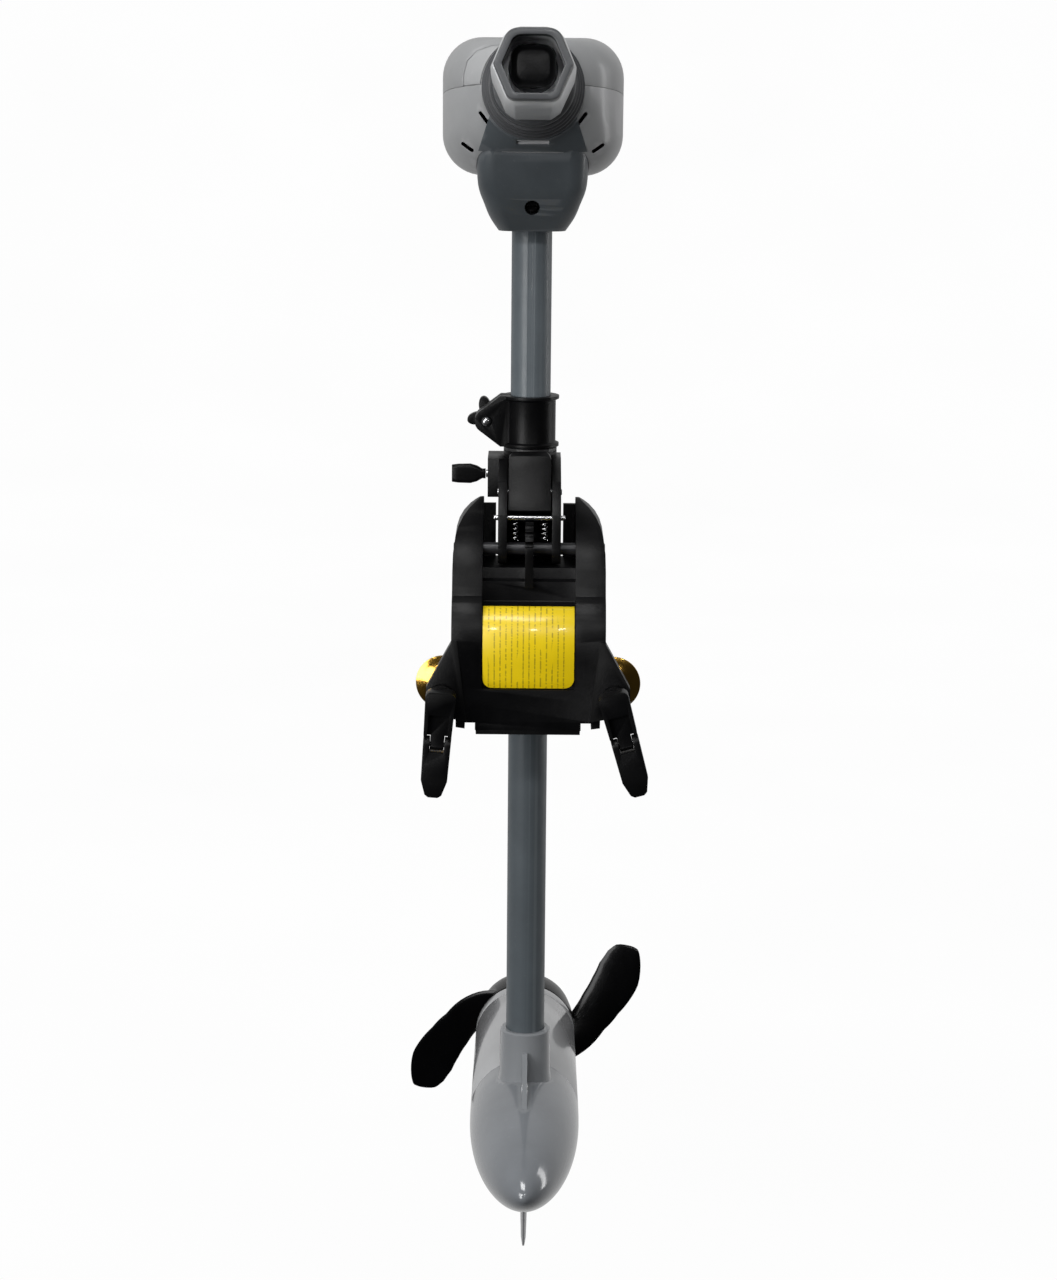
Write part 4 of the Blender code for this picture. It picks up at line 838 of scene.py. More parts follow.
def section_at(outline, ahead):
    """Sets an outline square to the tiller's axis."""
    along, _, _ = axes_of(TILLER_AXIS)
    up = (UP - along * UP.dot(along)).normalized()
    centre = along_tiller(ahead)
    return [centre + RIGHT * x + up * z for x, z in outline]


def circle_like(outline, radius):
    """A circle with its points in the same directions as the outline's."""
    points = []
    for x, z in outline:
        length = math.hypot(x, z)
        points.append((x * radius / length, z * radius / length))
    return points


def tiller_grip():
    """The round grip, which turns into a hexagon only close behind the bezel."""
    hexed = hexagon(*GRIP_HEX)
    rings = [section_at(circle_like(hexed, 0.0272), GRIP_BACK)]
    rings.append(section_at(circle_like(hexed, 0.028), GRIP_BACK + 0.003))
    for ahead, share in GRIP_BLEND:
        mixed = []
        for hex_point, round_point in zip(hexed, circle_like(hexed, 0.0282)):
            x = round_point[0] * (1 - share) + hex_point[0] * share
            z = round_point[1] * (1 - share) + hex_point[1] * share
            mixed.append((x, z))
        rings.append(section_at(mixed, ahead))
    grip = loft("tiller_grip", rings)
    cut(grip, rod("bore", along_tiller(0.11), along_tiller(0.226), ARM_R + GAP, 32))
    mouth = hexagon(*MOUTH_HEX)
    cut(grip, loft("mouth", [section_at(mouth, 0.224), section_at(mouth, 0.27)]))
    return grip


def grip_bezel():
    outer = hexagon(*BEZEL_HEX)
    mouth = hexagon(*MOUTH_HEX)
    rings = [section_at(outer, GRIP_FRONT + GAP), section_at(outer, BEZEL_FRONT - 0.002)]
    rings.append(section_at([(x * 0.97, z * 0.97) for x, z in outer], BEZEL_FRONT))
    rings.append(section_at(mouth, BEZEL_FRONT))
    rings.append(section_at(mouth, GRIP_FRONT + GAP))
    return loft("grip_bezel", rings, True)


def grip_plug():
    """The soft-cornered cap on the end of the extension tube, seen inside the bezel."""
    rings = []
    for ahead, half in PLUG_ROWS:
        outline = rounded(-half, half, -half * 0.93, half * 0.93, half * 0.55, 4)
        rings.append(section_at(outline, ahead))
    return loft("grip_plug", rings)


# ---- shaft, collar


def shaft_tube():
    top = at(0, 0, TUBE_TOP)
    body = tube("shaft_tube", at(0, 0, TUBE_TOP + TUBE_LENGTH), top, TUBE_R, TUBE_BORE, 28)
    cut(body, deep_rod("pilot", 0, NECK_SCREW_DROP, 0.0, 0.02, PILOT_R, 16))
    return body


def depth_collar():
    top = at(0, 0, COLLAR_TOP)
    height = COLLAR_BOTTOM - COLLAR_TOP
    profile = [(COLLAR_R - 0.002, 0), (LIP_R, 0), (LIP_R, 0.0022), (COLLAR_R, 0.0034)]
    profile += [(COLLAR_R, height - 0.0034), (LIP_R, height - 0.0022), (LIP_R, height)]
    profile += [(COLLAR_R - 0.002, height)]
    collar = turned("depth_collar", profile, top, -UP, 24)
    ear = [(-0.01, COLLAR_TOP), (-0.0225, COLLAR_TOP)]
    ear += arc(EAR_X, EAR_DROP, 0.0088, 232, 128, 8)
    ear += [(-0.0225, COLLAR_BOTTOM), (-0.01, COLLAR_BOTTOM)]
    add(collar, front_prism("ear", ear, -0.01, 0.0105))
    cut(collar, upright_rod("bore", 0.25, 0.31, TUBE_R + GAP, 24))
    cut(collar, block("split", -0.05, -0.01, -0.0012, 0.0012, 0.25, 0.31))
    cut(collar, deep_rod("hole", EAR_X, EAR_DROP, -0.02, 0.02, 0.0034, 18))
    return collar


def collar_bolt():
    front = at(EAR_X, 0.0108, EAR_DROP)
    profile = [(0.0, 0.0035), (0.0022, 0.0031), (0.0034, 0.0018), (0.0038, 0.0), (0.003, 0.0)]
    profile += [(0.003, -0.034), (0.0, -0.034)]
    return turned("collar_bolt", profile, front, FORWARD, 20)


def wing_outline(reach, waist, lean):
    """The outline of a four-lobed knob, as (x, z) about its centre."""
    points = []
    for i in range(72):
        angle = 2 * math.pi * i / 72
        bulge = abs(math.cos(2 * angle)) ** 2
        radius = waist + (reach - waist) * bulge
        turn = angle + math.radians(lean)
        points.append((radius * math.cos(turn), radius * math.sin(turn)))
    return points


def collar_knob():
    outline = wing_outline(0.0152, 0.007, 102)
    shape = [(EAR_X + x, EAR_DROP - z) for x, z in outline]
    knob = front_prism("collar_knob", shape, -0.0245, -0.0165)
    add(knob, deep_rod("hub", EAR_X, EAR_DROP, -0.0105, -0.018, 0.008, 24))
    cut(knob, deep_rod("bore", EAR_X, EAR_DROP, -0.005, -0.03, 0.0033, 18))
    return knob


# ---- swivel


def cheek(name, x0, x1):
    """One of the two side plates that hang on the pivot rod."""
    outline = [(-0.004, 0.306), (0.03, 0.306), (0.045, 0.312), (0.062, 0.318)]
    outline += [(0.07, 0.326), (0.081, 0.34), (0.0835, 0.352)]
    outline += arc(PIVOT_AHEAD, PIVOT_DROP, 0.011, -10, 110, 8)
    outline += [(0.05, 0.37), (0.029, 0.374), (0.0235, 0.383), (0.0215, 0.43)]
    outline += [(-0.004, 0.43)]
    return side_prism(name, outline, x0, x1)


def swivel_housing():
    body = upright_rod("swivel_housing", SLEEVE_BOTTOM, SLEEVE_TOP, SLEEVE_R, 28)
    for side in (-1, 1):
        inner, outer = sorted((side * CHEEK_IN, side * CHEEK_OUT))
        add(body, cheek("cheek", inner, outer))
    add(body, block("boss", -0.0315, -0.012, -0.009, 0.03, 0.306, 0.335))
    add(body, block("stop", -0.008, 0.008, 0.01, 0.0261, 0.445, 0.465))
    cut(body, upright_rod("bore", 0.5, 0.29, SLEEVE_BORE, 24))
    cut(body, cross_rod("pivot", -0.03, 0.03, PIVOT_AHEAD, PIVOT_DROP, PIVOT_R + GAP, 16))
    cut(body, cross_rod("lever", -0.03, 0.03, LEVER_AHEAD, LEVER_DROP, LEVER_HOLE_R, 18))
    back, front = LOCK_AHEAD - 0.0023, LOCK_AHEAD + 0.0023
    slot = rounded(back, front, LOCK_DROP - 0.0055, LOCK_DROP + 0.0023, 0.0022, 4)
    cut(body, side_prism("slot", slot, -0.03, 0.03))
    cut(body, cross_rod("screw", -0.05, -0.012, 0, TENSION_DROP, 0.0033, 18))
    return body


def tension_knob():
    """The flat paddle that turns the steering tension screw."""
    rings = []
    for x, half, thick in TENSION_ROWS:
        ring = rounded(-thick, thick, TENSION_DROP - half, TENSION_DROP + half, 0.0028, 3)
        rings.append([at(x, ahead, drop) for ahead, drop in ring])
    return loft("tension_knob", rings)


def tilt_lever():
    """The tongue that is pulled to free the tilt lock."""
    side = [(0.044, 0.2985), (0.05, 0.301), (0.056, 0.311), (0.0625, 0.322)]
    side += [(0.07, 0.333), (0.0735, 0.3375), (0.07, 0.3395), (0.064, 0.3345)]
    side += [(0.056, 0.331), (0.0515, 0.3265), (0.047, 0.315), (0.041, 0.303)]
    lever = side_prism("tilt_lever", side, -LEVER_HALF, LEVER_HALF)
    outline = rounded(-LEVER_HALF, LEVER_HALF, 0.298, 0.36, 0.0065, 5)
    keep(lever, front_prism("outline", outline, 0.02, 0.1))
    cut(lever, cross_rod("hole", -0.03, 0.03, LEVER_AHEAD, LEVER_DROP, LEVER_HOLE_R, 18))
    return lever


def lever_pin():
    return cross_rod("lever_pin", -0.0238, 0.0238, LEVER_AHEAD, LEVER_DROP, 0.0023, 16, 0.0004)


def lock_pin():
    return cross_rod("lock_pin", -0.0262, 0.0262, LOCK_AHEAD, LOCK_DROP, 0.0019, 16, 0.0004)


def lock_spring(name, x):
    """A coil spring between the lock pin and the pivot rod."""
    turns, per_turn, sides = 4, 20, 10
    top, bottom = LOCK_DROP + 0.0033, PIVOT_DROP - 0.0062
    coil, wire = 0.0024, 0.00048
    count = turns * per_turn
    rings = []
    for i in range(count + 1):
        angle = 2 * math.pi * i / per_turn
        radial = Vector((math.cos(angle), math.sin(angle), 0))
        centre = at(x, LOCK_AHEAD, bottom + (top - bottom) * i / count) + radial * coil
        ring = []
        for k in range(sides):
            phi = 2 * math.pi * k / sides
            ring.append(centre + (radial * math.cos(phi) + UP * math.sin(phi)) * wire)
        rings.append(ring)
    return loft(name, rings)


# ---- bracket

RAIL_TOP = (
    (0.0265, 0.337), (0.033, 0.334), (0.046, 0.3395), (0.058, 0.346), (0.07, 0.3545),
    (0.08, 0.364), (0.088, 0.376), (0.094, 0.389), (0.098, 0.3965),
)
RAIL_ROLL = (
    (0.1035, 0.4), (0.109, 0.407), (0.1135, 0.4165), (0.1158, 0.427), (0.116, 0.438),
    (0.1152, 0.45), (0.1148, 0.462),
)
LABEL_ROLL = (
    (0.087, 0.403), (0.096, 0.4034), (0.103, 0.4066), (0.1086, 0.4122), (0.1122, 0.4198),
    (0.114, 0.4284), (0.1141, 0.4385), (0.1126, 0.45), (0.111, 0.462),
)


def bracket_outline():
    """Half of the front view outline, from the top down, as (half width, drop)."""
    half = [(0.03, 0.332), (0.037, 0.3345), (0.0443, 0.34), (0.049, 0.3452)]
    half += [(0.0523, 0.351), (0.0543, 0.3575), (0.0557, 0.368), (RAIL_OUT, 0.38)]
    half += [(RAIL_OUT, 0.44), (0.053, 0.464), (0.0525, 0.4905), (0.038, 0.4925)]
    return half + [(0.037, 0.52)]


def bracket_body():
    """The hook's side view, trimmed to the front view."""
    profile = flow(RAIL_TOP, 4) + flow(RAIL_ROLL, 4)
    profile += [(0.115, 0.472), (0.1165, 0.4955), (POCKET_FRONT, 0.4955)]
    profile += [(POCKET_FRONT, SEAT_DROP), (POCKET_AFT, SEAT_DROP), (POCKET_AFT, LEG_BOTTOM)]
    profile += [(LEG_AFT, LEG_BOTTOM), (0.0265, 0.47)]
    body = side_prism("transom_bracket", profile, -RAIL_OUT - 0.002, RAIL_OUT + 0.002)
    half = bracket_outline()
    outline = [(-x, drop) for x, drop in half] + list(reversed(half))
    return keep(body, front_prism("outline", outline, 0.0, 0.15))


def bracket_wing(side):
    wing = [(side * 0.052, 0.426), (side * 0.056, 0.428), (side * 0.074, 0.461)]
    wing += [(side * 0.0745, 0.476), (side * 0.068, 0.482), (side * 0.045, 0.486)]
    return front_prism("wing", wing, POCKET_FRONT, 0.1165)


def bracket_recess():
    """The space between the rails, down to the roll that the label lies on."""
    floor = [(-0.01, 0.29), (0.16, 0.29), (0.16, 0.4625), (0.111, 0.4625)]
    floor += list(reversed(flow(LABEL_ROLL, 4)))
    floor += [(0.0862, 0.4022), (0.0862, 0.388), (0.08, 0.3868)]
    floor += [(0.0795, 0.379), (0.031, 0.379), (0.03, 0.386), (-0.01, 0.386)]
    return side_prism("recess", floor, -RAIL_IN, RAIL_IN)


def add_sector(bracket):
    """The notched plate round the pivot that the lock pin drops into."""
    sector = arc(PIVOT_AHEAD, PIVOT_DROP, SECTOR_R, 180, 370, 18)
    sector += [(0.0905, 0.392), (0.052, 0.392)]
    add(bracket, side_prism("sector", sector, -0.003, 0.003))
    for step in range(4):
        angle = math.radians(-90 + 24 * step)
        ahead = PIVOT_AHEAD + SECTOR_R * math.cos(angle)
        drop = PIVOT_DROP + SECTOR_R * math.sin(angle)
        cut(bracket, cross_rod("notch", -0.01, 0.01, ahead, drop, 0.0024, 14))


def transom_bracket():
    bracket = bracket_body()
    for side in (-1, 1):
        add(bracket, bracket_wing(side))
        boss = deep_rod("boss", side * CLAMP_X, CLAMP_DROP, POCKET_FRONT, 0.124, 0.01, 16)
        add(bracket, boss)
    cut(bracket, bracket_recess())
    for side in (-1, 1):
        inner, outer = sorted((side * FLANGE_IN, side * (RAIL_IN + 0.002)))
        add(bracket, block("flange", inner, outer, 0.03, 0.035, 0.339, 0.39))
    add_sector(bracket)
    cut(bracket, cross_rod("pivot", -0.07, 0.07, PIVOT_AHEAD, PIVOT_DROP, PIVOT_R + GAP, 16))
    for side in (-1, 1):
        inner, outer = sorted((side * 0.0385, side * 0.046))
        cut(bracket, block("notch", inner, outer, 0.1, 0.13, 0.487, 0.51))
        cut(bracket, deep_rod("thread", side * CLAMP_X, CLAMP_DROP, 0.09, 0.13, SCREW_R + GAP, 16))
    return bracket


def tilt_pivot_rod():
    return cross_rod("tilt_pivot_rod", -0.0555, 0.0555, PIVOT_AHEAD, PIVOT_DROP, PIVOT_R, 16, 0.0008)


def label_plate():
    """A thin plate that follows the roll of the hook. Its finish draws the rules."""
    half = RAIL_IN - 0.0008
    skin = []
    path = [Vector(point) for point in flow(((0.099, 0.4048),) + LABEL_ROLL[2:], 4)]
    for lift in (0.0004, 0.0013):
        row = []
        for i, point in enumerate(path):
            before = path[max(i - 1, 0)]
            after = path[min(i + 1, len(path) - 1)]
            run = (after - before).normalized()
            row.append(point + Vector((run.y, -run.x)) * lift)
        skin.append(row)
    outline = [tuple(p) for p in skin[0]] + [tuple(p) for p in reversed(skin[1])]
    plate = side_prism("label_plate", outline, -half, half)
    face = rounded(-half, half, 0.37, 0.4618, 0.007, 5)
    keep(plate, front_prism("outline", face, 0.05, 0.13))
    return plate


# ---- clamps


def splayed(obj, x, degrees):
    """Swings a handle piece out about the axis of its clamp screw."""
    centre = at(x, 0, CLAMP_DROP)
    spin = Matrix.Rotation(math.radians(degrees), 4, Vector((0, 1, 0)))
    obj.data.transform(Matrix.Translation(centre) @ spin @ Matrix.Translation(-centre))
    return obj


def clamp_screw(tag, x):
    profile = [(0.0, 0.0), (0.0032, 0.0), (0.0032, 0.0045), (SCREW_R - 0.0006, 0.0055)]
    profile += [(SCREW_R, 0.0068), (SCREW_R, 0.058), (0.0044, 0.059), (0.0044, 0.076), (0.0, 0.076)]
    return turned(f"clamp_screw_{tag}", profile, at(x, PAD_FACE + 0.003, CLAMP_DROP), FORWARD, 16)


def clamp_pad(tag, x):
    """A dished steel foot on the end of the clamp screw."""
    profile = [(0.0, 0.0), (PAD_R - 0.0006, 0.0), (PAD_R, 0.0006), (PAD_R, 0.002), (0.0165, 0.0026)]
    profile += [(0.0115, 0.0048), (0.0065, 0.007), (0.0035, 0.007), (0.0035, 0.0027), (0.0, 0.0027)]
    return turned(f"clamp_pad_{tag}", profile, at(x, PAD_FACE, CLAMP_DROP), FORWARD, 22)


def handle_half(down):
    """Half width of the handle at a distance below the screw axis."""
    if down < 0.055:
        return 0.0105 - 0.001 * max(down, 0.0) / 0.055
    return 0.0095 - 0.004 * (down - 0.055) / (HANDLE_END - 0.055)


def clamp_hub(tag, x, splay):
    """The upper part of the handle, on the screw's end, with the lug that the paddle folds on."""
    low = HINGE_DOWN - 0.0075
    bottom = CLAMP_DROP + low
    outline = [(x + dx, CLAMP_DROP + dd) for dx, dd in arc(-0.0064, -0.006, 0.0045, 180, 270, 4)]
    outline += [(x + dx, CLAMP_DROP + dd) for dx, dd in arc(0.0064, -0.006, 0.0045, 270, 360, 4)]
    outline += [(x + handle_half(low), bottom), (x - handle_half(low), bottom)]
    hub = front_prism(f"clamp_hub_{tag}", outline, HUB_BACK, HUB_FRONT)
    add(hub, cross_rod("lug", x - 0.005, x + 0.005, HINGE_AHEAD, HINGE_DROP, 0.0042, 20))
    add(hub, block("web", x - 0.005, x + 0.005, 0.137, 0.145, bottom - 0.002, HINGE_DROP))
    scoop = [(0.144, CLAMP_DROP + 0.007), (0.15, CLAMP_DROP + 0.006)]
    scoop += [(0.15, CLAMP_DROP + 0.03), (0.145, CLAMP_DROP + 0.03)]
    cut(hub, side_prism("scoop", scoop, x - 0.0075, x + 0.0075))
    cut(hub, deep_rod("socket", x, CLAMP_DROP, 0.13, 0.1475, 0.0047, 20))
    cut(hub, cross_rod("hole", x - 0.02, x + 0.02, HINGE_AHEAD, HINGE_DROP, HINGE_BORE, 14))
    return splayed(hub, x, splay)


def clamp_paddle(tag, x, splay):
    """The lower part of the handle, which forks round the hub's lug."""
    start = HINGE_DOWN - 0.007
    rows = (start, HINGE_DOWN + 0.006, 0.045, 0.055, 0.062, HANDLE_END - 0.002, HANDLE_END)
    right = []
    for down in rows:
        tuck = 0.002 if down == HANDLE_END else 0
        right.append((x + handle_half(down) - tuck, CLAMP_DROP + down))
    left = [(2 * x - px, drop) for px, drop in reversed(right)]
    paddle = front_prism(f"clamp_paddle_{tag}", right + left, 0.135, 0.147)
    side = arc(HINGE_AHEAD, HINGE_DROP, 0.006, 180, 360, 10)
    side += [(0.147, CLAMP_DROP + 0.055), (0.145, CLAMP_DROP + HANDLE_END + 0.001)]
    side += [(0.14, CLAMP_DROP + HANDLE_END + 0.001), (0.1365, CLAMP_DROP + 0.045)]
    keep(paddle, side_prism("side", side, x - 0.03, x + 0.03))
    top, bottom = HINGE_DROP - 0.01, HINGE_DROP + 0.0052
    cut(paddle, block("fork", x - 0.0053, x + 0.0053, 0.13, 0.152, top, bottom))
    cut(paddle, cross_rod("hole", x - 0.02, x + 0.02, HINGE_AHEAD, HINGE_DROP, HINGE_BORE, 14))
    return splayed(paddle, x, splay)


def clamp_hinge_pin(tag, x, splay):
    name = f"clamp_hinge_pin_{tag}"
    pin = cross_rod(name, x - 0.0088, x + 0.0088, HINGE_AHEAD, HINGE_DROP, 0.0018, 12)
    return splayed(pin, x, splay)


# ---- pod


def nose_radius(ahead):
    reach = NOSE_TIP - NOSE_START
    u = min(max((ahead - NOSE_START) / reach, 0.0), 1.0)
    return POD_R * max(1 - u**NOSE_POWER, 0.0) ** (1 / NOSE_ROOT)


def nose_profile(grow=0.0):
    """The nose from the seam to its tip, in even steps that close up at the tip."""
    stations = [POD_SEAM, NOSE_START] + [0.0045 * i for i in range(1, 32)]
    stations += [0.1445, 0.1465, 0.1475]
    profile = [(0.0, POD_SEAM)] + [(nose_radius(a) + grow, a) for a in stations]
    return profile + [(0.0, NOSE_TIP + grow)]


def nose_housing():
    centre = at(0, 0, POD_DROP)
    body = turned("nose_housing", nose_profile(), centre, FORWARD, 30)
    socket = [(0, 0), (SOCKET_R - 0.0015, 0), (SOCKET_R, 0.0012), (SOCKET_R + 0.0005, 0.036)]
    socket += [(SOCKET_R + 0.0025, 0.05), (0.012, 0.058), (0, 0.058)]
    add(body, turned("socket", socket, at(0, 0, SOCKET_TOP), -UP, 24))
    fin = [(0.01, 0.779), (0.0215, 0.779), (0.028, 0.783), (0.064, 0.8075)]
    fin += [(0.064, 0.82), (0.01, 0.82)]
    add(body, side_prism("fin", fin, -0.0019, 0.0019))
    cavity = [(0.0, POD_SEAM - 0.01), (0.0385, POD_SEAM - 0.01), (0.0385, 0.012)]
    cavity += [(0.03, 0.026), (0.0, 0.026)]
    cut(body, turned("cavity", cavity, centre, FORWARD, 16))
    boss = [(0.0092, 0.0), (0.0135, 0.0), (0.015, 0.022), (0.0092, 0.022)]
    add(body, turned("boss", boss, at(0, 0.006, POD_DROP), FORWARD, 16, True))
    hollow = [(0.0, 0.031), (0.033, 0.031), (0.033, 0.05), (0.025, 0.085)]
    hollow += [(0.014, 0.11), (0.0, 0.118)]
    cut(body, turned("hollow", hollow, centre, FORWARD, 16))
    cut(body, deep_rod("vent", 0, POD_DROP, 0.02, 0.035, 0.004, 10))
    cut(body, upright_rod("bore", 0.75, 0.815, TUBE_R + GAP, 28))
    return body


def motor_can():
    back = CAN_BACK - POD_SEAM
    profile = [(0.0403, 0.0), (POD_R, 0.0), (REAR_R, back), (0.0403, back)]
    return turned("motor_can", profile, at(0, POD_SEAM - GAP, POD_DROP), FORWARD, 30, True)


def rear_bell():
    """The end cap, with a bearing seat inside and a seal seat outside."""
    start = at(0, CAN_BACK - 2 * GAP, POD_DROP)
    depth = CAN_BACK - BELL_BACK - GAP
    bore = MOTOR_SHAFT_R + GAP
    profile = [(0.0113, -0.008), (0.0397, -0.008), (0.0397, -0.0002), (REAR_R, 0.0)]
    profile += [(REAR_R, depth - 0.0015), (REAR_R - 0.0015, depth), (0.0093, depth)]
    profile += [(0.0093, 0.0084), (bore, 0.0084), (bore, 0.0039), (0.0113, 0.0039)]
    bell = turned("rear_bell", profile, start, -FORWARD, 24, True)
    hole = [(0.0, -0.02), (0.0024, -0.02), (0.0024, 0.0104), (0.0044, 0.0104)]
    hole += [(0.0044, 0.03), (0.0, 0.03)]
    for side in (-1, 1):
        cut(bell, turned("hole", hole, start + RIGHT * side * BOLT_CIRCLE_R, -FORWARD, 16))
    return bell


def skeg():
    rings = []
    for drop, front, back, half in SKEG_ROWS:
        outline = [(half, back + 0.01), (half, front - 0.012), (0.0008, front), (-0.0008, front)]
        outline += [(-half, front - 0.012), (-half, back + 0.01), (-0.0008, back), (0.0008, back)]
        rings.append([at(x, ahead, drop) for x, ahead in outline])
    fin = loft("skeg", rings)
    pod = [(0.0, -0.15)] + [(POD_R + GAP, -0.15)] + nose_profile(GAP)[1:]
    cut(fin, turned("pod", pod, at(0, 0, POD_DROP), FORWARD, 30))
    return fin


def blade_edges(radius):
    """Lower and upper edge angles of the swept blade, in degrees."""
    for low, high in zip(BLADE_ROWS, BLADE_ROWS[1:]):
        if radius <= high[0]:
            break
    share = (radius - low[0]) / (high[0] - low[0])
    return low[1] + (high[1] - low[1]) * share, low[2] + (high[2] - low[2]) * share


def blade(name, turn):
    """A thin swept blade, built outwards from ring to ring and narrowed to a round tip."""
    rings = []
    radii = [BLADE_ROOT + BLADE_STEP * i for i in range(24)]
    radii += [0.1125, 0.1142, 0.1156, 0.1165, PROP_R]
    middle = (PROP_FRONT + PROP_BACK) / 2
    for radius in radii:
        low, high = blade_edges(radius)
        span = (radius - 0.046) / (PROP_R - 0.046)
        thick = 0.0026 - 0.0014 * max(span, 0.0)
        if radius > TIP_START:
            out = (radius - TIP_START) / (PROP_R - TIP_START)
            pinch = math.sqrt(max(1 - out**2, 0.02))
            centre = (low + high) / 2
            low = centre + (low - centre) * pinch
            high = centre + (high - centre) * pinch
        ring = []
        for face in (1, -1):
            for step in range(15):
                t = step / 14 if face > 0 else 1 - step / 14
                angle = low + (high - low) * t
                swell = thick * (math.sin(math.pi * t) ** 0.5 if 0 < t < 1 else 0.0) + 0.0004
                along = middle - PROP_PITCH * (angle - 8) / 360 + face * swell
                spin = math.radians(angle + turn)
                ring.append(at(radius * math.cos(spin), along, POD_DROP - radius * math.sin(spin)))
        rings.append(ring)
    return loft(name, rings, strips=True)


def propeller():
    length = PROP_FRONT - PROP_BACK
    bore = MOTOR_SHAFT_R + GAP
    hub = [(bore, 0.0), (0.012, 0.0), (0.012, 0.02), (0.037, 0.014), (0.037, 0.0)]
    hub += [(PROP_HUB_R - 0.001, 0.0), (PROP_HUB_R, 0.001), (PROP_HUB_R, 0.022)]
    hub += [(0.0405, 0.034), (0.035, 0.042), (0.027, length), (0.014, length)]
    hub += [(0.014, 0.042), (bore, 0.042)]
    body = turned("propeller", hub, at(0, PROP_FRONT, POD_DROP), -FORWARD, 24, True)
    cut(body, cross_rod("cross", -0.0117, 0.0117, -0.236, POD_DROP, 0.0018, 14))
    for index in range(BLADES):
        add(body, blade("blade", 360 * index / BLADES))
    return body


def prop_nut():
    start = at(0, -0.2503, POD_DROP)
    flange = [(0.0, 0.0), (0.011, 0.0), (0.011, 0.0025), (0.0, 0.0025)]
    body = turned("prop_nut", flange, start, -FORWARD, 18)
    flats = [(0.0, 0.002), (0.0095, 0.002), (0.0095, 0.012), (0.008, 0.0135), (0.0, 0.0135)]
    add(body, turned("hex", flats, start, -FORWARD, HEX_STEPS))
    cut(body, deep_rod("bore", 0, POD_DROP, -0.24, -0.28, MOTOR_SHAFT_R + GAP, 16))
    return body


def build_pieces():
    """Builds and dresses every piece that is finer than its CAD node."""
    head = (head_cover, cover_panel, head_lower, neck, neck_screw, cord_gland)
    tiller = (tiller_boot, tiller_arm, tiller_grip, grip_bezel, grip_plug)
    shaft = (shaft_tube, depth_collar, collar_bolt, collar_knob)
    swivel = (swivel_housing, tension_knob, tilt_lever, lever_pin, lock_pin)
    for build in head + tiller + shaft + swivel:
        dress(build())
    dress(lock_spring("lock_spring_left", -0.0108))
    dress(lock_spring("lock_spring_right", 0.0108))
    for build in (transom_bracket, tilt_pivot_rod, label_plate):
        dress(build())
    for tag, x, splay in (("left", -CLAMP_X, SPLAY_LEFT), ("right", CLAMP_X, SPLAY_RIGHT)):
        dress(clamp_screw(tag, x))
        dress(clamp_pad(tag, x))
        for build in (clamp_hub, clamp_paddle, clamp_hinge_pin):
            dress(build(tag, x, splay))
    for build in (nose_housing, motor_can, rear_bell, skeg, propeller, prop_nut):
        dress(build())


def dress_cad_nodes():
    """Gives the CAD nodes that are still shown the same finishes."""
    for node, obj in frame["nodes"].items():
        if obj.hide_render:
            continue
        obj.data.materials.clear()
        obj.data.materials.append(MATERIALS[SLOT_OF[node]])


# ---- floor, light, camera


def studio_floor():
    """A pale round floor that curves up into a wall. It glows evenly, for the camera only."""
    low = CAD_BOX[0].z - FLOOR_BELOW
    bend = [(FLOOR_R + x, y) for x, y in arc(0, FLOOR_BEND, FLOOR_BEND, 270, 360, 6)]
    profile = [(0.0, 0.0), (FLOOR_R, 0.0)] + bend + [(FLOOR_R + FLOOR_BEND, 9.0)]
    floor = turned("studio_floor", profile, Vector((0, 0, low)), UP, 24)
    sheet = Sheet("floor_white")
    glow = sheet.shader.inputs
    tone = sheet.mix(sheet.noise(1.5, 2), (0.97, 0.97, 0.97), (1.0, 1.0, 1.0))
    sheet.wire(tone, glow["Emission Color"])
    glow["Emission Strength"].default_value = 1.0
    glow["Base Color"].default_value = (0.0, 0.0, 0.0, 1.0)
    glow["Specular IOR Level"].default_value = 0.0
    floor.data.materials.append(sheet.material)
    floor.visible_diffuse = False
    floor.visible_glossy = False
    floor.visible_shadow = False


def lamp(name, place, target, size_x, size_y, power):
    light = bpy.data.lights.new(name, "AREA")
    light.shape = "RECTANGLE"
    light.size = size_x
    light.size_y = size_y
    light.energy = power
    obj = bpy.data.objects.new(name, light)
    bpy.context.scene.collection.objects.link(obj)
    obj.location = place
    obj.rotation_euler = (Vector(target) - Vector(place)).to_track_quat("-Z", "Y").to_euler()


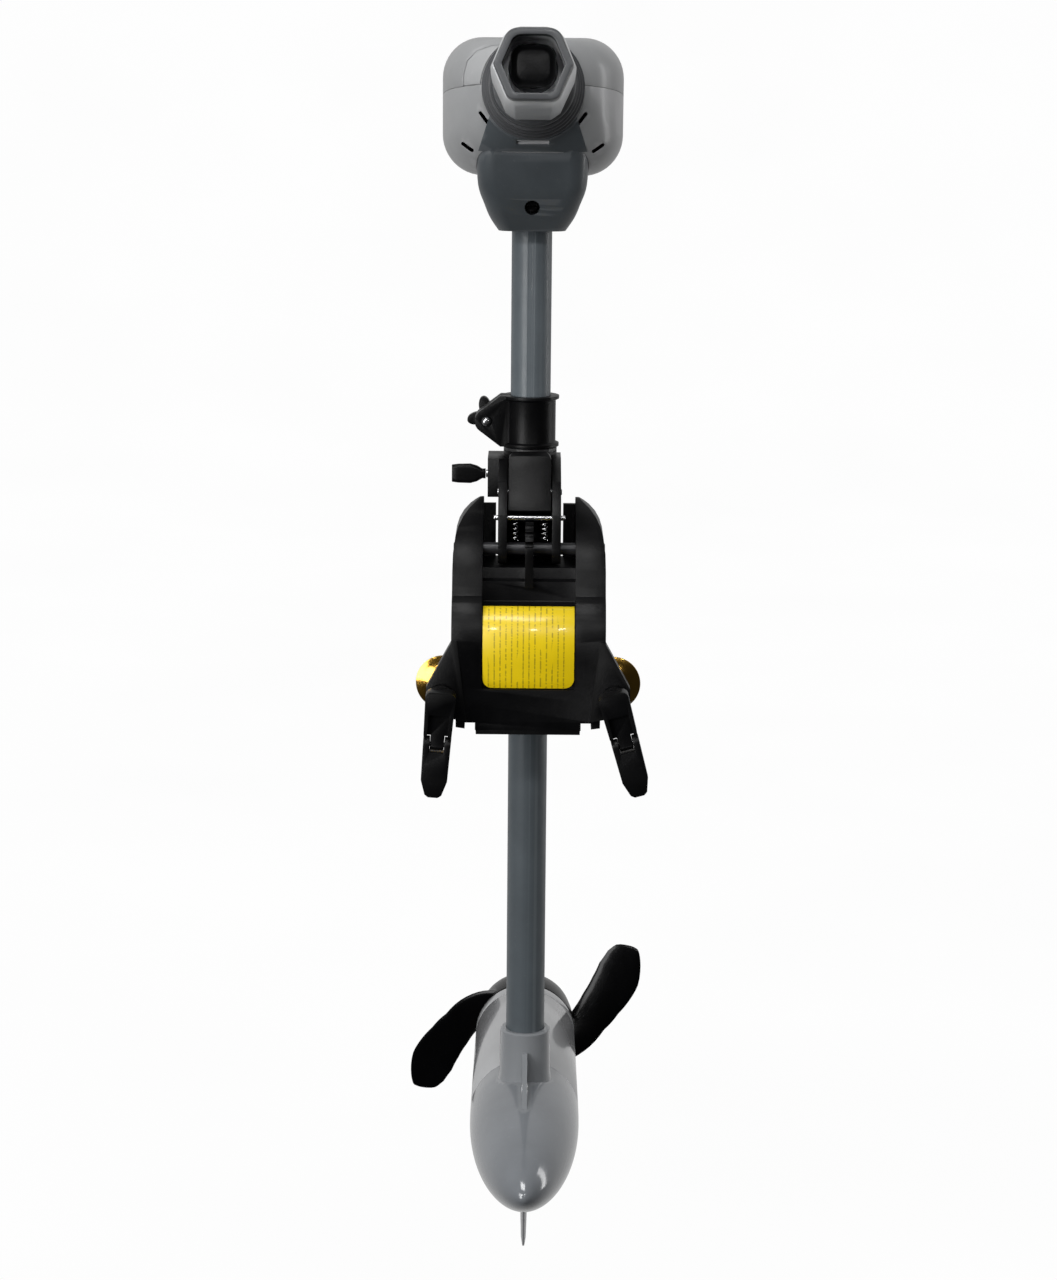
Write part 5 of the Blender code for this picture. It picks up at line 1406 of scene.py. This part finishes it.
def studio_lights():
    """A large lamp at the left, softer ones above and at the right, and three small ones for glints."""
    middle = (CAD_BOX[0] + CAD_BOX[1]) / 2
    lamp("key_left", (-1.9, -2.3, 0.5), middle, 1.3, 2.2, 62)
    lamp("top_soft", (-0.3, -1.2, 2.4), middle, 1.5, 0.8, 34)
    lamp("right_strip", (2.0, 0.6, 0.2), middle, 0.3, 2.0, 9)
    for turn in (-20, 3, 19):
        way = Matrix.Rotation(math.radians(turn), 3, "Z") @ Vector((0, -2.0, 1.45))
        lamp("spark", NOSE_SPOT + way, NOSE_SPOT, 0.13, 0.13, 3.5)


def studio_world():
    """Pale light from behind the object that fades to dark in front of it."""
    world = bpy.data.worlds.new("studio")
    world.use_nodes = True
    nodes = world.node_tree.nodes
    links = world.node_tree.links
    back = nodes["Background"]
    split = nodes.new("ShaderNodeSeparateXYZ")
    links.new(nodes.new("ShaderNodeTexCoord").outputs["Generated"], split.inputs[0])
    wall = nodes.new("ShaderNodeMapRange")
    for key, number in (("From Min", -0.15), ("From Max", 0.65), ("To Min", 0.04), ("To Max", 1.0)):
        wall.inputs[key].default_value = number
    links.new(split.outputs["Y"], wall.inputs["Value"])
    links.new(wall.outputs["Result"], back.inputs["Color"])
    back.inputs["Strength"].default_value = 0.55
    bpy.context.scene.world = world
    bpy.context.scene.view_settings.view_transform = "Standard"


def studio_camera():
    data = bpy.data.cameras.new("camera")
    data.lens = CAMERA_LENS
    data.sensor_width = 36.0
    data.clip_start = 0.05
    data.clip_end = 100.0
    camera = bpy.data.objects.new("camera", data)
    bpy.context.scene.collection.objects.link(camera)
    camera.location = (0.0, SHAFT_Y - CAMERA_BACK, HEAD_TOP)
    tilt = Matrix.Rotation(math.radians(90 - CAMERA_PITCH), 4, "X")
    roll = Matrix.Rotation(math.radians(CAMERA_ROLL), 4, "Z")
    camera.rotation_euler = (tilt @ roll).to_euler()
    bpy.context.scene.camera = camera


build_pieces()
dress_cad_nodes()
studio_floor()
studio_lights()
studio_world()
studio_camera()
